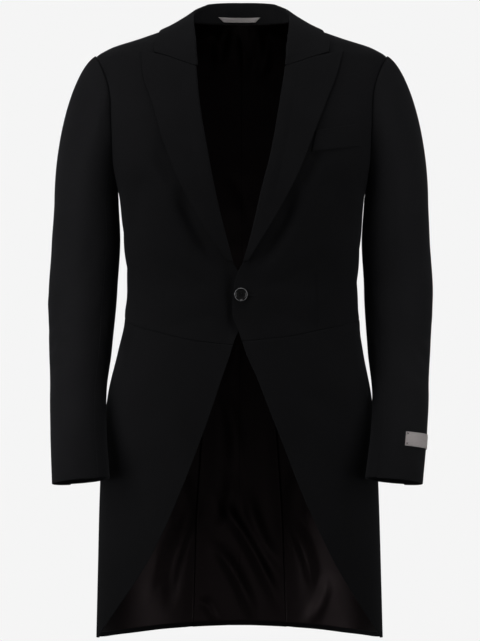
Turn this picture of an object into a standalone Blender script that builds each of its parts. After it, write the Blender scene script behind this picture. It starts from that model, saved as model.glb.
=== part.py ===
"""Morning coat with one button, peak lapels and cutaway tails, in its worn shape and hollow.

Sizes are millimetres in the tables and are turned into metres when a mesh is made.
+X is the wearer's left, -Y is the front, +Z is up. The origin lies between the shoulders,
on the level where the collar's fall ends on the shoulder.
A place on the coat's body is a side (+1 the wearer's left, -1 the right), an angle round the
body (0 at the centre front, half a turn at the centre back), a height and a lift off the surface.
"""
import math

import bmesh
import bpy
import numpy as np

MM = 0.001
LEFT = 1
RIGHT = -1
SIDE_NAMES = {LEFT: "left", RIGHT: "right"}

# Cloth thicknesses and clearances
CLOTH = 1.8
LINING = 1.0
COLLAR_CLOTH = 2.2
SEAM_GAP = 0.3
WAIST_GAP = 0.5
LINING_DEPTH = 2.5

# The body's horizontal sections, from the neck down to the hem
SECTION_COLUMNS = ("height", "half_width", "front", "back", "fullness", "centre")
BODY_SECTIONS = (
    (30, 66, 34, 76, 2.0, 0),
    (12, 80, 41, 85, 2.0, 0),
    (0, 116, 48, 90, 2.0, 0),
    (-15, 159, 58, 96, 2.05, 0),
    (-31, 206, 67, 102, 2.15, 0),
    (-46, 226, 76, 107, 2.3, 0),
    (-65, 226, 84, 113, 2.4, 0),
    (-100, 222, 97, 122, 2.5, 0),
    (-154, 214, 113, 131, 2.6, 0),
    (-210, 203, 123, 133, 2.6, 0),
    (-262, 189, 126, 129, 2.5, 0.5),
    (-325, 184, 123, 116, 2.4, 1.0),
    (-403, 178.5, 114, 99, 2.35, 1.5),
    (-450, 181, 114, 101, 2.3, 0.5),
    (-500, 190, 119, 111, 2.3, -1.5),
    (-560, 202, 125, 122, 2.25, -3.0),
    (-640, 211, 128, 130, 2.2, -3.5),
    (-720, 216, 129, 135, 2.2, -3.5),
    (-830, 219, 129, 139, 2.2, -3.2),
    (-950, 222, 128, 143, 2.2, -3.0),
)

# The roll lines of the lapels and, below the button, the edges of the fronts and the cutaway
EDGE_COLUMNS = ("height", "left_x", "right_x")
FRONT_EDGES = (
    (12, 75.2, -75.2),
    (0, 74.0, -74.3),
    (-60, 66.4, -68.7),
    (-120, 57.2, -63.0),
    (-190, 45.2, -51.5),
    (-260, 28.0, -38.3),
    (-320, 14.2, -23.8),
    (-350, 5.5, -15.8),
    (-366, 0.5, -11.5),
    (-376, -5.0, -5.0),
    (-395, -10.5, 6.0),
    (-418, -12.8, 11.5),
    (-440, -13.8, 9.0),
    (-455, -9.0, 1.0),
    (-467, -4.5, -4.5),
    (-482, 0.7, -11.3),
    (-500, 6.7, -16.5),
    (-536, 23.0, -29.0),
    (-590, 44.0, -47.0),
    (-643, 64.8, -66.4),
    (-697, 85.7, -87.3),
    (-751, 109.0, -110.0),
    (-806, 134.9, -137.2),
    (-844, 156.4, -160.2),
    (-882, 180.7, -186.0),
    (-905, 195.5, -201.5),
    (-923, 207.0, -213.0),
    (-934, 213.5, -219.0),
)

# The outer edge of each lapel, from the peak's tip to the foot of the V, in the same columns
LAPEL_EDGES = (
    (-41, 155.0, -154.0),
    (-80, 143.5, -148.9),
    (-125, 125.7, -133.0),
    (-173, 106.9, -119.3),
    (-220, 88.5, -101.4),
    (-266, 66.0, -79.8),
    (-310, 41.0, -55.0),
    (-345, 19.8, -32.5),
    (-366, 7.2, -18.0),
)

# Tables of two columns: the first is read by, the second is the value
VALUE = 1

# Lines that go round the body: degrees round it, height
WAIST_SEAM = ((0, -485), (20, -477), (40, -466), (60, -457), (90, -447), (120, -440), (150, -434), (180, -432))
HEM = ((0, -932), (60, -933), (90, -941), (112, -948), (130, -949), (150, -946.5), (180, -943))

# Seams that run down the body: height, then degrees round it for the side seam and x for the back one
SIDE_SEAM = ((-250, 90), (-340, 94), (-450, 97))
SIDE_BACK_SEAM = ((-150, 206), (-165, 186), (-190, 160), (-230, 126), (-290, 88), (-360, 58), (-432, 43),
                  (-520, 50), (-650, 62), (-800, 71), (-950, 76))
WAIST_LEAN = 3.0

# The armhole, an oval in side view
ARMHOLE_TOP = -42.0
ARMHOLE_FOOT = -250.0
ARMHOLE_FRONT = 58.0
ARMHOLE_BACK = 62.0

# The rows of every body panel: heights down to the armhole's foot, then shares of the way to the
# waist seam, then shares of the way to the hem
NECK_HEIGHT = 12.0
BACK_NECK_RISE = 6.0
UPPER_ROWS = (NECK_HEIGHT, 9, 5, 0, -8, -18, -30, ARMHOLE_TOP, -46, -56, -72, -96, -125, -155, -185, -212, -233,
              -246, ARMHOLE_FOOT)
WAIST_SHARES = (0.17, 0.34, 0.5, 0.66, 0.83, 1.0)
HEM_SHARES = (0.08, 0.19, 0.32, 0.45, 0.58, 0.71, 0.84, 0.95, 1.0)
ARMHOLE_FOOT_ROW = len(UPPER_ROWS) - 1
SIDE_BODY_ROW = UPPER_ROWS.index(-155)
WAIST_ROW = ARMHOLE_FOOT_ROW + len(WAIST_SHARES)
HEM_ROW = WAIST_ROW + len(HEM_SHARES)

# How closely the rows are worked out
EDGE_ROUNDS = 16
FINE_STEPS = 90

# Columns in each panel
FOREPART_COLUMNS = 10
BACK_COLUMNS = 8
SIDE_BODY_COLUMNS = 6
SKIRT_COLUMNS = 16
VENT_COLUMNS = 2

# How the left front lies over the right one
LAP_LIFT = 2.5
LAP_FLAT = 24.0
LAP_END = 75.0
LAP_RISE = (-325.0, -370.0)
LAP_FALL = (-480.0, -545.0)
FRONT_ONLY = 1.2

# The side pleat: the skirt's back edge lies on the back
PLEAT_LAP = 10.0
PLEAT_LIFT = 2.3
PLEAT_RAMP = (14.0, 3.0)

# The vent's underlap
VENT_TOP_ROW = WAIST_ROW + 1
VENT_UNDER = 28.0
VENT_OVER = 14.0

# Lapels
TUCK = 4.8
TUCK_FADE = (-330.0, -372.0)
GORGE_HEIGHT = -67.0
GORGE_BOW = 3.6
PEAK_HEIGHT = -41.0
LAPEL_FOOT = -362.0
LAPEL_DOWN = (0, 0.03, 0.08, 0.15, 0.24, 0.34, 0.45, 0.56, 0.67, 0.78, 0.89, 1)
LAPEL_SHARES = (0.0, 0.2, 0.42, 0.62, 0.82, 1.0)
LAPEL_OUTER = 3.3
LAPEL_INNER = 0.9
LAPEL_STAND_OFF = 5.0
ROLL_LIFTS = (1.6, 2.7)
ROLL_SHARE = 0.35
ROLL_ROUND = 0.4
NOSE_REST = 0.6
NOSE_WIDTH = (0.4, 4.2)
NOSE_FADE = (-312.0, -345.0)

# The collar's stations, from the centre back to the gorge. The neck place runs from 0 at the
# centre back over 1 at the neck point to 2 at the gorge; the edge is an angle and a height.
STATION_COLUMNS = ("station", "crease_x", "crease_y", "crease_z", "neck_place", "edge_angle", "edge_height")
COLLAR_STATIONS = (
    (0, 0.0, 85.0, 53.0, 0.00, 180.0, 9.0),
    (1, 28.0, 83.0, 52.5, 0.24, 160.0, 7.5),
    (2, 48.0, 73.0, 49.5, 0.49, 140.0, 5.5),
    (3, 63.5, 50.0, 41.0, 0.73, 117.0, 3.0),
    (4, 72.5, 22.0, 32.0, 0.94, 97.0, 1.4),
    (5, 75.2, -3.0, 22.5, 1.06, 82.0, -0.6),
    (6, 75.0, -23.0, 12.0, 1.20, 68.0, -6.5),
    (7, 73.9, -40.0, 0.0, 1.38, 54.0, -14.0),
    (8, 71.7, -59.5, -20.0, 1.55, 43.0, -25.5),
    (9, 69.4, -75.0, -43.0, 1.78, 37.0, -35.0),
    (10, 67.3, -86.0, -66.0, 2.00, 33.7, -43.0),
)
COLLAR_HALF_STEPS = 14
COLLAR_CLEAR = 2.1
COLLAR_SPLIT = 1.4
GORGE_SHARE = 0.74
GORGE_START = 0.05
GORGE_GAP = 0.55
GORGE_CLEAR = 2.2
NECK_BOW = 1.25
STAND_SHARES = (1.0, 0.66, 0.33, 0.06)
FALL_SHARES = (0.04, 0.25, 0.5, 0.75, 1.0)
STAND_CLEAR = 1.5

# The sleeves' rings below the head, from the upper arm to the cuff
RING_COLUMNS = ("height", "left_x", "right_x", "centre_y", "half_width", "half_depth", "front_rise", "inner_rise")
SLEEVE_RINGS = (
    (-270, 239.5, 240.0, 0, 48.8, 65, 0, 0),
    (-326, 239.0, 240.5, 3, 51.6, 62, 0, 0),
    (-403, 243.3, 245.7, 8, 52.0, 57, 0, 0),
    (-496, 244.0, 249.4, 0, 47.6, 52, 2, 0),
    (-558, 244.0, 250.5, -28, 42.6, 48, 4, 1),
    (-620, 239.0, 247.5, -64, 41.8, 45, 6, 2),
    (-692, 228.5, 241.0, -102, 42.5, 42, 7, 4),
)
HEAD_SHARES = (0, 0.1, 0.24, 0.42, 0.62, 0.82, 1)
HEAD_LEAVE = 0.15
HEAD_ARRIVE = 0.46
HEAD_OUT = (0.87, 0.10)
HEAD_DOWN = (0.5, 1.0)
RING_HEIGHTS = (-320, -370, -420, -467, -512, -553, -592, -628, -661, -692)
TOP_SLEEVE_COLUMNS = 14
UNDER_SLEEVE_COLUMNS = 7
FRONT_SEAM_ANGLE = 130.0
SLEEVE_SEAM_TURN = 0.2

# The sleeves' back seam: height, degrees round the sleeve
SLEEVE_BACK_SEAM = ((-42, 232), (-270, 250), (-500, 272), (-692, 296))

# Welt pocket on the left chest: corners as x and height
WELT_TOP = ((111.0, -166.0), (176.0, -153.0))
WELT_FOOT = ((104.5, -198.5), (181.0, -187.0))
WELT_LIFT = 0.5
WELT_CLOTH = 1.4
WELT_ROWS = 3
WELT_COLUMNS = 6

# Buttons: radius, thickness and sides of each kind, their outline from back to face as shares of
# radius and thickness, and their places
FRONT_BUTTON = (10.0, 4.0, 20)
WAIST_BUTTON = (9.0, 3.6, 14)
CUFF_BUTTON = (7.0, 3.0, 10)
BUTTON_OUTLINE = ((0.72, 0.0), (1.0, 0.3), (1.0, 0.72), (0.9, 1.0), (0.74, 0.66))
FRONT_BUTTON_PLACE = (-0.8, -411.5)
WAIST_BUTTON_AT = 165.0
WAIST_BUTTON_TURN = 1.0
WAIST_BUTTON_DROP = 9.0
CUFF_BUTTON_HEIGHTS = (-658, -643, -628, -613)
CUFF_BUTTON_TURN = 11.0
BUTTON_SEAT = 0.7

# Blank labels
NECK_LABEL_TOP = (-33.2, 30.2)
NECK_LABEL_FOOT = (-25.2, 22.4)
NECK_LABEL_SHIFT = -3.0
SLEEVE_LABEL_ANGLES = (-8.0, 80.0)
SLEEVE_LABEL_HEIGHTS = (-622.5, -643.0)
LABEL_CLOTH = 1.0
LABEL_COLUMNS = 8
LABEL_ROWS = 2
LABEL_SEAT = 0.8

COLOURS = {
    "wool": ((0.006, 0.006, 0.007), 0.85),
    "lining": ((0.010, 0.006, 0.007), 0.45),
    "horn": ((0.010, 0.010, 0.012), 0.25),
    "label": ((0.36, 0.33, 0.32), 0.7),
}


def sorted_rows(rows):
    """A table as an array whose first column rises."""
    data = np.array(rows, float)
    return data[np.argsort(data[:, 0])]


def read(table, column, at):
    """Smooth value of a table's column that doesn't overshoot its rows."""
    keys = table[:, 0]
    values = table[:, column]
    steps = np.diff(keys)
    slopes = np.diff(values) / steps
    tangents = np.zeros_like(values)
    same_way = slopes[1:] * slopes[:-1] > 0
    safe = np.where(same_way, slopes[1:] * slopes[:-1], 1.0)
    total = np.where(same_way, slopes[1:] + slopes[:-1], 1.0)
    tangents[1:-1] = np.where(same_way, 2 * safe / total, 0.0)
    tangents[0] = slopes[0]
    tangents[-1] = slopes[-1]
    at = np.asarray(at, float)
    index = np.clip(np.searchsorted(keys, at) - 1, 0, len(steps) - 1)
    step = steps[index]
    u = np.clip((at - keys[index]) / step, 0, 1)
    start = (1 + 2 * u) * (1 - u) ** 2 * values[index] + u * (1 - u) ** 2 * step * tangents[index]
    end = u * u * (3 - 2 * u) * values[index + 1] + u * u * (u - 1) * step * tangents[index + 1]
    return start + end


SECTIONS = sorted_rows(BODY_SECTIONS)
FRONTS = sorted_rows(FRONT_EDGES)
LAPELS = sorted_rows(LAPEL_EDGES)
WAIST = sorted_rows(WAIST_SEAM)
HEM_LINE = sorted_rows(HEM)
SIDE_LINE = sorted_rows(SIDE_SEAM)
BACK_LINE = sorted_rows(SIDE_BACK_SEAM)
STATIONS = sorted_rows(COLLAR_STATIONS)
RINGS = sorted_rows(SLEEVE_RINGS)
SLEEVE_BACK = sorted_rows(SLEEVE_BACK_SEAM)


def section(name, height):
    """One measure of the body's section at a height."""
    return read(SECTIONS, SECTION_COLUMNS.index(name), height)


def fade(value, start, end):
    """Smooth change from 0 at start to 1 at end."""
    share = np.clip((np.asarray(value, float) - start) / (end - start), 0, 1)
    return share * share * (3 - 2 * share)


def surface(side, angle, height):
    """Points on the body's surface."""
    angle = np.asarray(angle, float)
    height = np.asarray(height, float)
    power = 2 / section("fullness", height)
    sine = np.sin(angle)
    cosine = np.cos(angle)
    x = section("half_width", height) * np.sign(sine) * np.abs(sine) ** power
    depth = np.where(cosine > 0, -section("front", height), section("back", height))
    y = depth * np.abs(cosine) ** power
    return np.stack(np.broadcast_arrays(section("centre", height) + side * x, y, height), axis=-1)


def unit(vectors):
    """Vectors of length one."""
    return vectors / np.maximum(np.linalg.norm(vectors, axis=-1, keepdims=True), 1e-9)


def normal(side, angle, height):
    """Outward directions of the body's surface."""
    turn = 0.02
    drop = 1.5
    along = surface(side, angle + turn, height) - surface(side, angle - turn, height)
    down = surface(side, angle, height - drop) - surface(side, angle, height + drop)
    return unit(np.cross(down, along) * side)


def on_body(side, angle, height, lift=0.0):
    """Points lifted off the body's surface."""
    lift = np.asarray(lift, float)[..., None]
    return surface(side, angle, height) + normal(side, angle, height) * lift


def angle_at(side, x, height, back=False):
    """The angle where the body's section passes a given x."""
    across = side * (np.asarray(x, float) - section("centre", height))
    share = np.clip(np.abs(across) / section("half_width", height), 0, 1)
    angle = np.sign(across) * np.arcsin(share ** (section("fullness", height) / 2))
    return math.pi - angle if back else angle


def lap_lift(side, x, height):
    """How far the left front is lifted where it lies over the right one."""
    across = 1 - fade(x, LAP_FLAT, LAP_END)
    down = fade(height, *LAP_RISE) * (1 - fade(height, *LAP_FALL))
    return np.where(side > 0, LAP_LIFT * across * down, 0.0)


def edge_x(table, side, height):
    """x of an edge in a table with a column for each side."""
    return read(table, EDGE_COLUMNS.index(SIDE_NAMES[side] + "_x"), height)


def front_x(side, height):
    """The roll line, or below the button the front edge."""
    return edge_x(FRONTS, side, height)


def tuck(height):
    """How far behind the roll line the forepart starts, under the lapel."""
    return TUCK * (1 - fade(height, *TUCK_FADE))


def front_edge(side, height):
    """Angle of the front edge of forepart and skirt."""
    return angle_at(side, front_x(side, height) + side * tuck(height), height)


def armhole_angle(height, reach, depth_name):
    """Angle from the side to the armhole's edge at a height."""
    middle = (ARMHOLE_TOP + ARMHOLE_FOOT) / 2
    half = (ARMHOLE_TOP - ARMHOLE_FOOT) / 2
    open_share = np.sqrt(np.clip(1 - ((height - middle) / half) ** 2, 0, 1))
    share = reach * open_share / section(depth_name, height)
    return np.arcsin(np.clip(share ** (section("fullness", height) / 2), 0, 1))


def side_seam(side, height):
    """Front edge of the side body: the armhole's back, then the underarm seam."""
    return np.where(height > ARMHOLE_FOOT, armhole_back(side, height), np.radians(read(SIDE_LINE, VALUE, height)))


def forepart_back(side, height):
    """Back edge of the forepart: shoulder seam, armhole, underarm seam."""
    armhole = math.pi / 2 - armhole_angle(height, ARMHOLE_FRONT, "front")
    return np.where(height > ARMHOLE_FOOT, armhole, np.radians(read(SIDE_LINE, VALUE, height)))


def armhole_back(side, height):
    """Back edge of the armhole; above it this is the shoulder seam."""
    return math.pi / 2 + armhole_angle(height, ARMHOLE_BACK, "back")


def side_back_seam(side, height):
    """The curved seam between side body or skirt and the back."""
    x = section("centre", height) + side * read(BACK_LINE, VALUE, height)
    seam = angle_at(side, x, height, back=True)
    return np.maximum(seam, armhole_back(side, height))


def back_edge(side, height):
    """Outer edge of the back: shoulder seam, armhole, side back seam."""
    start = UPPER_ROWS[SIDE_BODY_ROW]
    return np.where(height > start, armhole_back(side, height), side_back_seam(side, height))


def centre_back(side, height):
    """The centre back seam."""
    return np.full_like(np.asarray(height, float), math.pi)


def row_height(side, row, angle):
    """Height of a row of the body's panels at an angle."""
    degrees = np.degrees(np.abs(angle))
    lean = side * WAIST_LEAN * (1 - fade(degrees, 20, 90))
    waist = read(WAIST, VALUE, degrees) + lean
    if row == 0:
        return NECK_HEIGHT + BACK_NECK_RISE * np.clip(-np.cos(angle), 0, 1)
    if row <= ARMHOLE_FOOT_ROW:
        return np.full_like(waist, float(UPPER_ROWS[row]))
    if row <= WAIST_ROW:
        share = WAIST_SHARES[row - ARMHOLE_FOOT_ROW - 1]
        return ARMHOLE_FOOT + (waist - ARMHOLE_FOOT) * share
    share = HEM_SHARES[row - WAIST_ROW - 1]
    return waist + (read(HEM_LINE, VALUE, degrees) - waist) * share


def edge_angle(side, row, edge):
    """The angle where a row meets an edge that is given by height."""
    angle = np.asarray(math.pi / 2)
    for _ in range(EDGE_ROUNDS):
        angle = edge(side, row_height(side, row, angle))
    return float(angle)


def row_angles(side, row, first, last, places):
    """Angles along a row at distances from its first edge, in mm; a negative place counts from the last."""
    fine = np.linspace(edge_angle(side, row, first), edge_angle(side, row, last), FINE_STEPS)
    points = surface(side, fine, row_height(side, row, fine))
    lengths = np.concatenate([[0], np.cumsum(np.linalg.norm(np.diff(points, axis=0), axis=1))])
    return np.interp(places(lengths[-1]), lengths, fine)


def even_places(columns, first_gap=SEAM_GAP / 2, last_gap=SEAM_GAP / 2):
    """Evenly spaced columns with a gap at each end."""
    return lambda length: np.linspace(first_gap, length - last_gap, columns + 1)


def panel_grid(side, rows, first, last, places, top_gap=0.0, foot_gap=0.0):
    """Angles and heights of a panel's points."""
    angles = np.array([row_angles(side, row, first, last, places) for row in rows])
    heights = np.array([row_height(side, row, line) for row, line in zip(rows, angles)])
    heights[0] -= top_gap
    heights[-1] += foot_gap
    return angles, heights


def panel_wall(side, angles, heights, outer, inner):
    """Outer and inner points of a panel; lifts may differ from point to point."""
    lap = lap_lift(side, surface(side, angles, heights)[..., 0], heights) * (angles < FRONT_ONLY)
    return on_body(side, angles, heights, outer + lap), on_body(side, angles, heights, inner + lap)


def make_object(name, bm, colour):
    """Store a mesh in metres as a named object with its own material."""
    bmesh.ops.recalc_face_normals(bm, faces=bm.faces[:])
    mesh = bpy.data.meshes.new(name)
    bm.to_mesh(mesh)
    bm.free()
    mesh.shade_smooth()
    mesh.set_sharp_from_angle(angle=math.radians(50))
    piece = bpy.data.objects.new(name, mesh)
    bpy.context.scene.collection.objects.link(piece)
    piece.parent = bpy.data.objects["coat"]
    base, roughness = COLOURS[colour]
    material = bpy.data.materials.new(name)
    material.use_nodes = True
    shader = material.node_tree.nodes["Principled BSDF"]
    shader.inputs["Base Color"].default_value = (*base, 1.0)
    shader.inputs["Roughness"].default_value = roughness
    shader.inputs["Metallic"].default_value = 0.0
    mesh.materials.append(material)
    return piece


def make_wall(name, outer, inner, colour):
    """One closed wall between two grids of points, in rows and columns."""
    rows, columns = outer.shape[:2]
    bm = bmesh.new()
    out = [[bm.verts.new(point * MM) for point in line] for line in outer]
    back = [[bm.verts.new(point * MM) for point in line] for line in inner]
    for i in range(rows - 1):
        for j in range(columns - 1):
            bm.faces.new((out[i][j], out[i + 1][j], out[i + 1][j + 1], out[i][j + 1]))
            bm.faces.new((back[i][j], back[i][j + 1], back[i + 1][j + 1], back[i + 1][j]))
    for i in range(rows - 1):
        for j in (0, columns - 1):
            bm.faces.new((out[i][j], out[i + 1][j], back[i + 1][j], back[i][j]))
    for j in range(columns - 1):
        for i in (0, rows - 1):
            bm.faces.new((out[i][j], out[i][j + 1], back[i][j + 1], back[i][j]))
    return make_object(name, bm, colour)


def make_forepart(side):
    """Front panel from the shoulder to the waist seam."""
    rows = range(WAIST_ROW + 1)
    places = even_places(FOREPART_COLUMNS)
    angles, heights = panel_grid(side, rows, front_edge, forepart_back, places, foot_gap=WAIST_GAP / 2)
    outer, inner = panel_wall(side, angles, heights, 0.0, -CLOTH)
    make_wall("forepart_" + SIDE_NAMES[side], outer, inner, "wool")


def make_side_body(side):
    """Panel between the underarm seam and the side back seam, down to the waist seam."""
    rows = range(SIDE_BODY_ROW, WAIST_ROW + 1)
    places = even_places(SIDE_BODY_COLUMNS)
    angles, heights = panel_grid(side, rows, side_seam, side_back_seam, places, foot_gap=WAIST_GAP / 2)
    outer, inner = panel_wall(side, angles, heights, 0.0, -CLOTH)
    make_wall("side_body_" + SIDE_NAMES[side], outer, inner, "wool")


def make_back(side):
    """Back panel from the neck to the hem, and the lining behind it."""
    rows = range(HEM_ROW + 1)
    angles, heights = panel_grid(side, rows, back_edge, centre_back, even_places(BACK_COLUMNS))
    outer, inner = panel_wall(side, angles, heights, 0.0, -CLOTH)
    make_wall("back_" + SIDE_NAMES[side], outer, inner, "wool")


def lining_places(side, row):
    """Columns of the back lining; below the waist they leave the vent's underlap free."""
    free = {LEFT: VENT_UNDER, RIGHT: VENT_OVER}[side] + 1.0 if row >= VENT_TOP_ROW else SEAM_GAP / 2
    return even_places(BACK_COLUMNS, last_gap=free)


def make_back_lining(side):
    """Lining of the back, from below the neck seam to just above the hem."""
    rows = range(1, HEM_ROW)
    angles = np.array([row_angles(side, row, back_edge, centre_back, lining_places(side, row)) for row in rows])
    heights = np.array([row_height(side, row, line) for row, line in zip(rows, angles)])
    outer = on_body(side, angles, heights, -LINING_DEPTH)
    inner = on_body(side, angles, heights, -LINING_DEPTH - LINING)
    make_wall("lining_back_" + SIDE_NAMES[side], outer, inner, "lining")


def skirt_places(length):
    """Columns of the skirt: even ones, then the pleat's ramp and its lap on the back."""
    seam = length - PLEAT_LAP
    even = np.linspace(0, seam - PLEAT_RAMP[0], SKIRT_COLUMNS - 1)
    return np.concatenate([even, [seam - PLEAT_RAMP[1], length]])


def pleat_edge(side, height):
    """The skirt's back edge, past the side back seam."""
    x = section("centre", height) + side * (read(BACK_LINE, VALUE, height) - PLEAT_LAP)
    return angle_at(side, x, height, back=True)


def make_skirt(side):
    """Skirt from the waist seam to the hem, cut away at the front."""
    rows = range(WAIST_ROW, HEM_ROW + 1)
    angles, heights = panel_grid(side, rows, front_edge, pleat_edge, skirt_places, top_gap=WAIST_GAP / 2)
    lift = np.zeros(angles.shape)
    lift[:, -2:] = PLEAT_LIFT
    outer, inner = panel_wall(side, angles, heights, lift, lift - CLOTH)
    make_wall("skirt_" + SIDE_NAMES[side], outer, inner, "wool")


def make_skirt_lining(side):
    """Lining of the skirt, back from the cut edge and up from the hem."""
    rows = range(WAIST_ROW + 1, HEM_ROW)
    angles, heights = panel_grid(side, rows, front_edge, pleat_edge, skirt_places)
    seam = np.array([edge_angle(side, row, side_back_seam) for row in rows])
    inset = SEAM_GAP / (0.5 * section("back", heights[:, -1]))
    angles = np.concatenate([angles[:, 1:-2], (seam - inset)[:, None]], axis=1)
    heights = np.concatenate([heights[:, 1:-2], heights[:, -2:-1]], axis=1)
    lap = lap_lift(side, surface(side, angles, heights)[..., 0], heights) * (angles < FRONT_ONLY)
    outer = on_body(side, angles, heights, lap - LINING_DEPTH)
    inner = on_body(side, angles, heights, lap - LINING_DEPTH - LINING)
    make_wall("lining_skirt_" + SIDE_NAMES[side], outer, inner, "lining")


def make_vent_underlap():
    """Strip of the right back that lies behind the vent's edge."""
    rows = range(VENT_TOP_ROW, HEM_ROW + 1)
    x = np.linspace(-VENT_OVER, VENT_UNDER, 2 * VENT_COLUMNS + 1)
    heights = np.array([row_height(LEFT, row, np.full(x.shape, math.pi)) for row in rows])
    middle = section("centre", heights)
    angles = angle_at(LEFT, middle + x[None, :], heights, back=True)
    outer = on_body(LEFT, angles, heights, -LINING_DEPTH)
    inner = on_body(LEFT, angles, heights, -LINING_DEPTH - CLOTH)
    make_wall("vent_underlap", outer, inner, "wool")


def lapel_place(side, down, across):
    """x and height on a lapel: down runs from the gorge to the foot, across from roll to edge."""
    roll_height = GORGE_HEIGHT + (LAPEL_FOOT - GORGE_HEIGHT) * down
    edge_height = PEAK_HEIGHT + (LAPEL_FOOT - PEAK_HEIGHT) * down
    roll = front_x(side, roll_height)
    edge = edge_x(LAPELS, side, edge_height)
    bow = GORGE_BOW * np.sin(math.pi * across ** 1.6) * (1 - down) ** 2
    return roll + (edge - roll) * across, roll_height + (edge_height - roll_height) * across + bow


def lapel_stand_off(down, across):
    """How far the lapel rolls off the chest above the button."""
    return LAPEL_STAND_OFF * np.sin(math.pi * np.clip(down, 0, 1) ** 2.2) * across ** 1.4


def lapel_lifts(width, nose):
    """Distances from the roll line with the outer and inner lifts there."""
    rest = nose + NOSE_REST
    spread = rest + (width - rest) * np.array(LAPEL_SHARES[1:])
    distance = np.concatenate([[0, ROLL_SHARE * nose, nose, rest], spread])
    outer = np.concatenate([ROLL_LIFTS, np.full(len(spread) + 2, LAPEL_OUTER)])
    depth = LAPEL_INNER - (LAPEL_INNER + CLOTH) * (nose - NOSE_WIDTH[0]) / (NOSE_WIDTH[1] - NOSE_WIDTH[0])
    inner = np.concatenate([[depth + ROLL_ROUND, depth, depth], np.full(len(spread) + 1, LAPEL_INNER)])
    return distance, outer, inner


def make_lapel(side):
    """Lapel turned over at the roll line, with a round fold and a stand-off above the button."""
    outer_rows = []
    inner_rows = []
    for down in LAPEL_DOWN:
        roll_x, roll_height = lapel_place(side, down, np.array(0.0))
        outer_x, _ = lapel_place(side, down, np.array(1.0))
        width = abs(outer_x - roll_x)
        nose = NOSE_WIDTH[1] + (NOSE_WIDTH[0] - NOSE_WIDTH[1]) * float(fade(roll_height, *NOSE_FADE))
        distance, outer, inner = lapel_lifts(width, nose)
        across = distance / width
        x, height = lapel_place(side, down, across)
        angle = angle_at(side, x, height)
        lift = lap_lift(side, x, height) + lapel_stand_off(down, across)
        outer_rows.append(on_body(side, angle, height, outer + lift))
        inner_rows.append(on_body(side, angle, height, inner + lift))
    make_wall("lapel_" + SIDE_NAMES[side], np.array(outer_rows), np.array(inner_rows), "wool")


def neck_point(side, place):
    """Middle of the body's wall along the neck: centre back 0, neck point 1, gorge 2."""
    if place <= 1:
        angle = math.pi * (1 - place / 2)
        height = NECK_HEIGHT + BACK_NECK_RISE * max(-math.cos(angle), 0)
    else:
        height = NECK_HEIGHT + (GORGE_HEIGHT + SEAM_GAP - NECK_HEIGHT) * (place - 1) ** NECK_BOW
        angle = front_edge(side, height)
    return on_body(side, np.asarray(float(angle)), np.asarray(height), -CLOTH / 2)


def clear_of_body(point, clearance):
    """Push a point out until it is clear of the body's surface."""
    x, y, height = point
    side = LEFT if x >= section("centre", height) else RIGHT
    width = float(section("half_width", height))
    depth = float(section("front" if y < 0 else "back", height))
    power = float(section("fullness", height))
    across = abs(x - float(section("centre", height))) / width
    reach = (across ** power + (abs(y) / depth) ** power) ** (1 / power)
    sine = min((across / max(reach, 1e-6)) ** (power / 2), 1.0)
    angle = math.asin(sine) if y < 0 else math.pi - math.asin(sine)
    foot = on_body(side, np.asarray(angle), np.asarray(height))
    out = normal(side, np.asarray(angle), np.asarray(height))
    gap = float(np.dot(point - foot, out))
    return point + out * max(clearance - gap, 0)


def collar_line(side, station):
    """Middle line of the collar's section at a station, from the neck seam over the crease to the edge."""
    values = [float(read(STATIONS, column, station)) for column in range(1, len(STATION_COLUMNS))]
    crease = np.array([side * values[0], values[1], values[2]])
    neck = neck_point(side, values[3])
    edge_turn = math.radians(values[4])
    edge = on_body(side, np.asarray(edge_turn), np.asarray(values[5]), COLLAR_CLEAR)
    down_stand = unit(neck - crease)
    down_fall = unit(edge - crease)
    top = unit(-(down_stand + down_fall))
    out = unit(down_fall - top * np.dot(down_fall, top))
    stand_foot = neck - down_stand * STAND_CLEAR
    stand_top = crease - out * COLLAR_SPLIT
    fall_top = crease + out * COLLAR_SPLIT
    stand = [stand_top + (stand_foot - stand_top) * share for share in STAND_SHARES]
    fall = [fall_top + (edge - fall_top) * share for share in FALL_SHARES]
    fall = [clear_of_body(point, COLLAR_CLEAR) for point in fall]
    return np.array(stand + [crease + top * COLLAR_SPLIT] + fall)


def gorge_line(side):
    """The collar's end, along the gorge and the notch."""
    line = collar_line(side, COLLAR_STATIONS[-1][0])
    shares = np.array(FALL_SHARES) * GORGE_SHARE
    shares[0] = GORGE_START
    x, height = lapel_place(side, 0.0, shares)
    height = height + GORGE_GAP
    lift = LAPEL_OUTER - COLLAR_CLOTH / 2
    line[:-len(FALL_SHARES), 2] += GORGE_CLEAR
    line[-len(FALL_SHARES):] = on_body(side, angle_at(side, x, height), height, lift)
    return line


def collar_grid():
    """Middle surface of the collar from the right gorge round the back to the left gorge."""
    last = COLLAR_STATIONS[-1][0]
    stations = np.linspace(0, last, COLLAR_HALF_STEPS + 1)
    right = [collar_line(RIGHT, station) for station in stations[1:-1]] + [gorge_line(RIGHT)]
    left = [collar_line(LEFT, station) for station in stations[1:-1]] + [gorge_line(LEFT)]
    return np.array(right[::-1] + [collar_line(LEFT, 0.0)] + left)


def thicken(grid, thickness):
    """Outer and inner points of a wall round a middle surface."""
    along = np.gradient(grid, axis=0)
    across = np.gradient(grid, axis=1)
    out = unit(np.cross(along, across))
    return grid + out * thickness / 2, grid - out * thickness / 2


def make_collar():
    """Folded collar: stand, crease and fall in one piece."""
    outer, inner = thicken(collar_grid(), COLLAR_CLOTH)
    make_wall("collar", outer, inner, "wool")


def ring(name, height):
    """One measure of the sleeve at a height."""
    return read(RINGS, RING_COLUMNS.index(name), height)


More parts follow.
